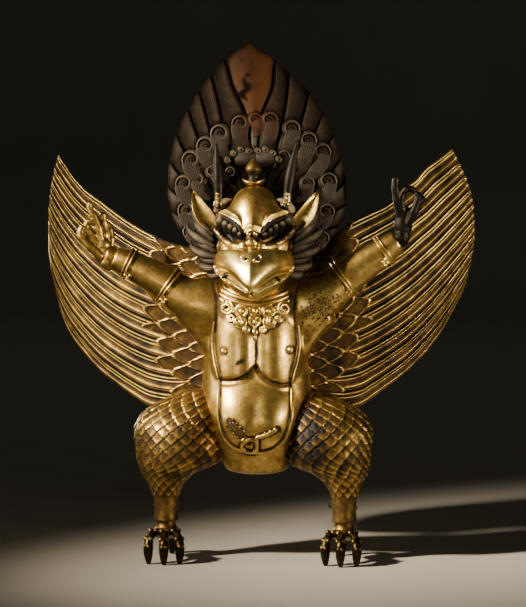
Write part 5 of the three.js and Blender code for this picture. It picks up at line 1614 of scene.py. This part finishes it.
def length_property(name, description, millimetres):
    """A length that a user may change, given in millimetres."""
    return bpy.props.FloatProperty(
        name=name, description=description, unit="LENGTH", default=millimetres / 1000, min=0.0, precision=4
    )


class GarudaSizes(bpy.types.PropertyGroup):
    """Sizes of the fine relief."""

    feather_ridge: length_property("Feather ridge", "Height of a feather's main rib over its grooves", 4.2)
    covert_ridge: length_property("Covert ridge", "Height of a covert's free edge", 4.6)
    leg_scale: length_property("Leg scale", "Height of a scale's free point on the legs", 4.4)
    lock_ridge: length_property("Lock ridge", "Height of a long lock of hair over its groove", 7.0)
    sheet_edge: length_property("Sheet edge", "Thickness of the wing's sheet at its edge", 2.0)
    crest_sheet: length_property("Crest sheet", "Thickness of the crest behind its locks", 7.0)
    hair_pitch: length_property("Hair pitch", "Spacing of combed lines in the hair", 2.4)
    barb_pitch: length_property("Barb pitch", "Spacing of chased barbs on the feathers", 2.4)


class GarudaColours(bpy.types.PropertyGroup):
    """Colours of the finishes."""

    # Bright gold is burnished gilding and also the painted highlight where the relief is raised.
    gold_bright: colour_property("Bright gold", "Burnished gilding on the ridges", "#EFD37E")
    gold: colour_property("Gold", "Gilding on the plain surfaces", "#B8954E")
    gold_brown: colour_property("Brown gold", "Thin gilding with copper showing", "#5F4825")
    # The groove tone is tarnish and also the painted shade where the relief is lowered.
    gold_recess: colour_property("Groove", "Dirt and tarnish in the grooves", "#181008")
    gold_orange: colour_property("Reddish gold", "Tone of the redder gilding, as a filter", "#A8713E")
    copper_dark: colour_property("Dark copper", "Patinated copper", "#25211C")
    copper_edge: colour_property("Rubbed copper", "Edges of the patinated copper", "#80725A")
    hair_grey: colour_property("Grey hair", "Main tone of the painted hair", "#3A3329")
    hair_pale: colour_property("Pale hair", "Rubbed ridges of the hair", "#73654D")
    hair_worn: colour_property("Worn hair", "Metal that shows where the paint is worn", "#A6926A")
    hair_brown: colour_property("Brown hair", "Warmer tone of the painted hair", "#261C11")
    hair_recess: colour_property("Hair groove", "Dust and shade between the locks", "#050403")
    leaf_orange: colour_property("Orange leaf", "Paint of the crest's middle leaf", "#4E2B0B")
    claw_black: colour_property("Claw black", "Blackening of the claws, as a filter", "#59657C")
    floor: colour_property("Floor", "Studio paper", "#AAA59C")


class GarudaStep(bpy.types.Operator):
    """Shared footing of the steps that build the figure."""

    bl_idname = "garuda.step"
    bl_label = "Garuda step"
    bl_options = {"REGISTER", "UNDO"}

    def settings(self, context):
        """Sizes in millimetres by name, and colours."""
        sizes = context.scene.garuda_sizes
        lengths = {name: getattr(sizes, name) * 1000 for name in sizes.__annotations__}
        return lengths, context.scene.garuda_colours


class AddTorso(GarudaStep):
    """Adds the trunk with its arms, the cord and the collar"""

    bl_idname = "garuda.add_torso"
    bl_label = "Torso"

    def execute(self, context):
        _, colours = self.settings(context)
        finish = fire_gilt_sheet(colours, "fire_gilt_copper_sheet", 0.25)
        parts = [torso_skin(), *collar_bodies(), *knot_bodies()]
        piece("gilt_torso", parts, finish, "gilt_copper", "torso")
        return {"FINISHED"}


class AddBands(GarudaStep):
    """Adds the armlets and bracelets"""

    bl_idname = "garuda.add_bands"
    bl_label = "Armlets and bracelets"

    def execute(self, context):
        _, colours = self.settings(context)
        finish = fire_gilt_sheet(colours, "fire_gilt_copper_wire", 0.05)
        for name in SIDES:
            for kind, share in BAND_PLACES.items():
                bands = band_bodies(name, share)
                piece(f"{name}_{kind}_wires", bands, finish, "gilt_copper", f"{name}_{kind}")
        return {"FINISHED"}


class AddLegs(GarudaStep):
    """Adds the scaled legs"""

    bl_idname = "garuda.add_legs"
    bl_label = "Legs"

    def execute(self, context):
        sizes, colours = self.settings(context)
        finish = fire_gilt_sheet(colours, "fire_gilt_copper_scales", 0.12)
        for name in SIDES:
            legs = [leg_body(name, sizes["leg_scale"])]
            piece(f"{name}_scaled_leg", legs, finish, "gilt_copper", f"{name}_leg")
        return {"FINISHED"}


class AddFeet(GarudaStep):
    """Adds the cast feet and the ankle pins"""

    bl_idname = "garuda.add_feet"
    bl_label = "Feet"

    def execute(self, context):
        _, colours = self.settings(context)
        cast = worn_gilt_cast(colours, "worn_gilt_copper_casting")
        dark = dark_copper_cast(colours, "dark_copper_pin")
        for name in SIDES:
            piece(f"{name}_clawed_foot", foot_bodies(name), cast, "worn_gilt_copper", f"{name}_foot")
            piece(f"{name}_pin_wire", pin_bodies(name), dark, "dark_copper", f"{name}_ankle_pin")
        return {"FINISHED"}


class AddHands(GarudaStep):
    """Adds the cast hands"""

    bl_idname = "garuda.add_hands"
    bl_label = "Hands"

    def execute(self, context):
        _, colours = self.settings(context)
        gilt = fire_gilt_sheet(colours, "fire_gilt_copper_casting", 0.1)
        dark = dark_copper_cast(colours, "dark_patinated_copper_hand")
        piece("left_cast_hand", hand_bodies("left"), gilt, "gilt_copper", "left_hand")
        piece("right_cast_hand", hand_bodies("right"), dark, "dark_copper", "right_hand")
        return {"FINISHED"}


class AddWings(GarudaStep):
    """Adds the feathered wings"""

    bl_idname = "garuda.add_wings"
    bl_label = "Wings"

    def execute(self, context):
        sizes, colours = self.settings(context)
        finish = fire_gilt_sheet(colours, "fire_gilt_copper_feathers", 0.15, sizes["barb_pitch"])
        heights = [sizes[name] for name in ("feather_ridge", "covert_ridge", "sheet_edge")]
        for name in SIDES:
            made = [wing_body(name, *heights)]
            piece(f"{name}_feathered_wing", made, finish, "gilt_copper", f"{name}_wing")
        return {"FINISHED"}


class AddHead(GarudaStep):
    """Adds the beaked head with its ears, the painted shadows over its eyes and tufts of hair"""

    bl_idname = "garuda.add_head"
    bl_label = "Head"

    def execute(self, context):
        sizes, colours = self.settings(context)
        gilt = fire_gilt_sheet(colours, "fire_gilt_copper_head", 0.18)
        parts = [head_skin(), cap_body(), ear_body(-1), ear_body(1), *lip_bodies(), *horn_root_bodies()]
        piece("gilt_head", parts, gilt, "gilt_copper", "head")
        hair = painted_hair(colours, "worn_painted_copper_tufts", sizes["hair_pitch"], True)
        piece("face_tufts", tuft_bodies(), hair, "painted_hair")
        # The brow shadows and the holes of nostrils and mouth are painted shade on black bodies.
        piece("eye_slits", painted_shadow_bodies(), dark_copper_cast(colours, "black_copper_recess"), "dark_copper")
        return {"FINISHED"}


class AddHorns(GarudaStep):
    """Adds the horns and the topknot"""

    bl_idname = "garuda.add_horns"
    bl_label = "Horns and topknot"

    def execute(self, context):
        _, colours = self.settings(context)
        dark = dark_copper_cast(colours, "rubbed_dark_copper_horn")
        for name in SIDES:
            piece(f"{name}_tapered_horn", horn_bodies(name), dark, "dark_copper", f"{name}_horn")
        gilt = fire_gilt_sheet(colours, "fire_gilt_copper_jewel", 0.05)
        piece("topknot_jewel", topknot_bodies(), gilt, "gilt_copper", "topknot")
        return {"FINISHED"}


class AddCrest(GarudaStep):
    """Adds the crest of hair with its scroll locks"""

    bl_idname = "garuda.add_crest"
    bl_label = "Crest"

    def execute(self, context):
        sizes, colours = self.settings(context)
        hair = painted_hair(colours, "matt_painted_copper_hair", sizes["hair_pitch"])
        parts = [crest_body(sizes["lock_ridge"], sizes["crest_sheet"]), *lobe_bodies()]
        for row in VOLUTES:
            parts.extend(lock_bodies(*row))
        piece("crest_of_hair", parts, hair, "painted_hair", "crest")
        return {"FINISHED"}


# The studio paper, in metres: how far it lies in front and behind, its bend, and how high and wide it is.
SWEEP_FRONT = 1.4
SWEEP_BACK = 5.0
SWEEP_BEND = 0.6
SWEEP_TOP = 2.2
SWEEP_WIDE = 2.2
PAPER_THICK = 0.01
PAPER_GAP = 0.0005  # under the claws, so that paper and soles don't share a plane
# Lights: place and aim in metres, watts, width of the disc, spread of the beam in degrees and colour.
LIGHTS = {
    "key_light": ((-1.95, -1.12, 1.56), (0.03, -0.12, 0.31), 4.4, 0.2, 22, "#FFF1D6"),
    "side_light": ((-2.1, -0.75, 0.4), (0.0, 0.0, 0.5), 0.4, 0.4, 22, "#FFEFD0"),
    "fill_light": ((2.05, -1.2, 0.35), (0.0, 0.0, 0.5), 1.15, 0.3, 22, "#FFF1DA"),
    "front_light": ((-0.5, -2.1, 0.2), (-0.02, 0.0, 0.4), 0.08, 0.35, 18, "#FFF1DA"),
    "back_light": ((-1.3, 1.7, 0.6), (0.0, 0.05, 0.45), 0.8, 0.5, 24, "#FFF6EA"),
}
# The camera: degrees to the viewer's right and up, distance in millimetres, focal length and height of the
# photograph in pixels, and where the point at half height falls, right and up of the picture's middle.
CAMERA_AZIMUTH = 4.0
CAMERA_ELEVATION = 3.5
CAMERA_DISTANCE = 3000.0
PHOTO_FOCAL = 2224.4
PHOTO_HEIGHT = 607
SENSOR = 36.0
AIM_RIGHT = 8.77
AIM_UP = -3.32


def paper_sweep():
    """The studio paper: a sheet that lies flat, turns up behind the figure in a quarter circle and hangs as a
    wall, as rings of four corners along that path."""
    turn = np.linspace(0, np.pi / 2, 24)
    arc = np.stack([SWEEP_BACK + SWEEP_BEND * np.sin(turn), SWEEP_BEND * (1 - np.cos(turn))], axis=-1)
    path = np.concatenate([[[-SWEEP_FRONT, 0]], arc, [[SWEEP_BACK + SWEEP_BEND, SWEEP_TOP]]])
    slope = unit(np.gradient(path, axis=0))
    under = path + PAPER_THICK * np.stack([slope[:, 1], -slope[:, 0]], axis=-1)
    corners = np.stack([path, path, under, under], axis=1)
    across = np.array([-1, 1, 1, -1]) * SWEEP_WIDE + 0 * corners[..., 0]
    points, quads, _ = body(np.stack([across, corners[..., 0], corners[..., 1] - PAPER_GAP], axis=-1))
    return points, quads


class SetStage(GarudaStep):
    """Sets up the floor, the lights and the camera at the photograph's angle"""

    bl_idname = "garuda.set_stage"
    bl_label = "Studio"

    def execute(self, context):
        _, colours = self.settings(context)
        scene = context.scene
        points, quads = paper_sweep()
        mesh = bpy.data.meshes.new("studio_floor")
        fill_mesh(mesh, points, quads)
        mesh.materials.append(studio_paper(colours, "matt_studio_paper"))
        floor = bpy.data.objects.new("studio_floor", mesh)
        scene.collection.objects.link(floor)
        for name, row in LIGHTS.items():
            self.light(scene, name, *row)
        world = bpy.data.worlds.new("studio_air")
        world.use_nodes = True
        backdrop = world.node_tree.nodes["Background"]
        backdrop.inputs["Color"].default_value = (*linear("#33322D"), 1.0)
        backdrop.inputs["Strength"].default_value = 1.0
        scene.world = world
        self.camera(scene)
        return {"FINISHED"}

    def light(self, scene, name, place, aim, watts, size, spread, code):
        """A round soft light turned to its aim, whose beam fades out at half its spread from the middle."""
        data = bpy.data.lights.new(name, "AREA")
        data.shape = "DISK"
        data.size = size
        data.energy = watts
        data.spread = np.radians(spread)
        data.color = linear(code)
        made = bpy.data.objects.new(name, data)
        made.location = place
        made.rotation_euler = (Vector(aim) - Vector(place)).to_track_quat("-Z", "Y").to_euler()
        scene.collection.objects.link(made)

    def camera(self, scene):
        """The photograph's camera: it looks along its two angles, and is moved sideways and up so that the
        point at half the figure's height falls where the photograph has it."""
        azimuth, elevation = np.radians([CAMERA_AZIMUTH, CAMERA_ELEVATION])
        ahead = np.array([-np.sin(azimuth), np.cos(azimuth), 0.0]) * np.cos(elevation)
        forward = ahead - [0, 0, np.sin(elevation)]
        right = np.array([np.cos(azimuth), np.sin(azimuth), 0.0])
        up = np.cross(right, forward)
        aim = np.array([0, 0, DRAWN_HEIGHT / 2]) + AIM_RIGHT * right + AIM_UP * up
        data = bpy.data.cameras.new("photo_camera")
        data.lens = SENSOR * PHOTO_FOCAL / PHOTO_HEIGHT
        data.sensor_width = SENSOR
        data.clip_end = 50.0
        made = bpy.data.objects.new("photo_camera", data)
        made.location = placed(aim - CAMERA_DISTANCE * forward)
        made.rotation_euler = Vector(forward).to_track_quat("-Z", "Y").to_euler()
        scene.collection.objects.link(made)
        scene.camera = made


class GarudaPanel(bpy.types.Panel):
    """Lists the steps that build the figure, with its sizes and colours"""

    bl_idname = "VIEW3D_PT_garuda"
    bl_label = "Gilded garuda"
    bl_space_type = "VIEW_3D"
    bl_region_type = "UI"
    bl_category = "Garuda"

    def draw(self, context):
        for settings in (context.scene.garuda_sizes, context.scene.garuda_colours):
            box = self.layout.box()
            for name in settings.__annotations__:
                box.prop(settings, name)
        for step in STEPS:
            self.layout.operator(step.bl_idname)


STEPS = (AddTorso, AddBands, AddLegs, AddFeet, AddHands, AddWings, AddHead, AddHorns, AddCrest, SetStage)
CLASSES = (GarudaSizes, GarudaColours, *STEPS, GarudaPanel)


def register():
    for made in CLASSES:
        bpy.utils.register_class(made)
    bpy.types.Scene.garuda_sizes = bpy.props.PointerProperty(type=GarudaSizes)
    bpy.types.Scene.garuda_colours = bpy.props.PointerProperty(type=GarudaColours)


def unregister():
    del bpy.types.Scene.garuda_colours
    del bpy.types.Scene.garuda_sizes
    for made in reversed(CLASSES):
        bpy.utils.unregister_class(made)


def main():
    register()
    for step in STEPS:
        group, name = step.bl_idname.split(".")
        getattr(getattr(bpy.ops, group), name)()
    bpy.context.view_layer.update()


if __name__ == "__main__":
    main()
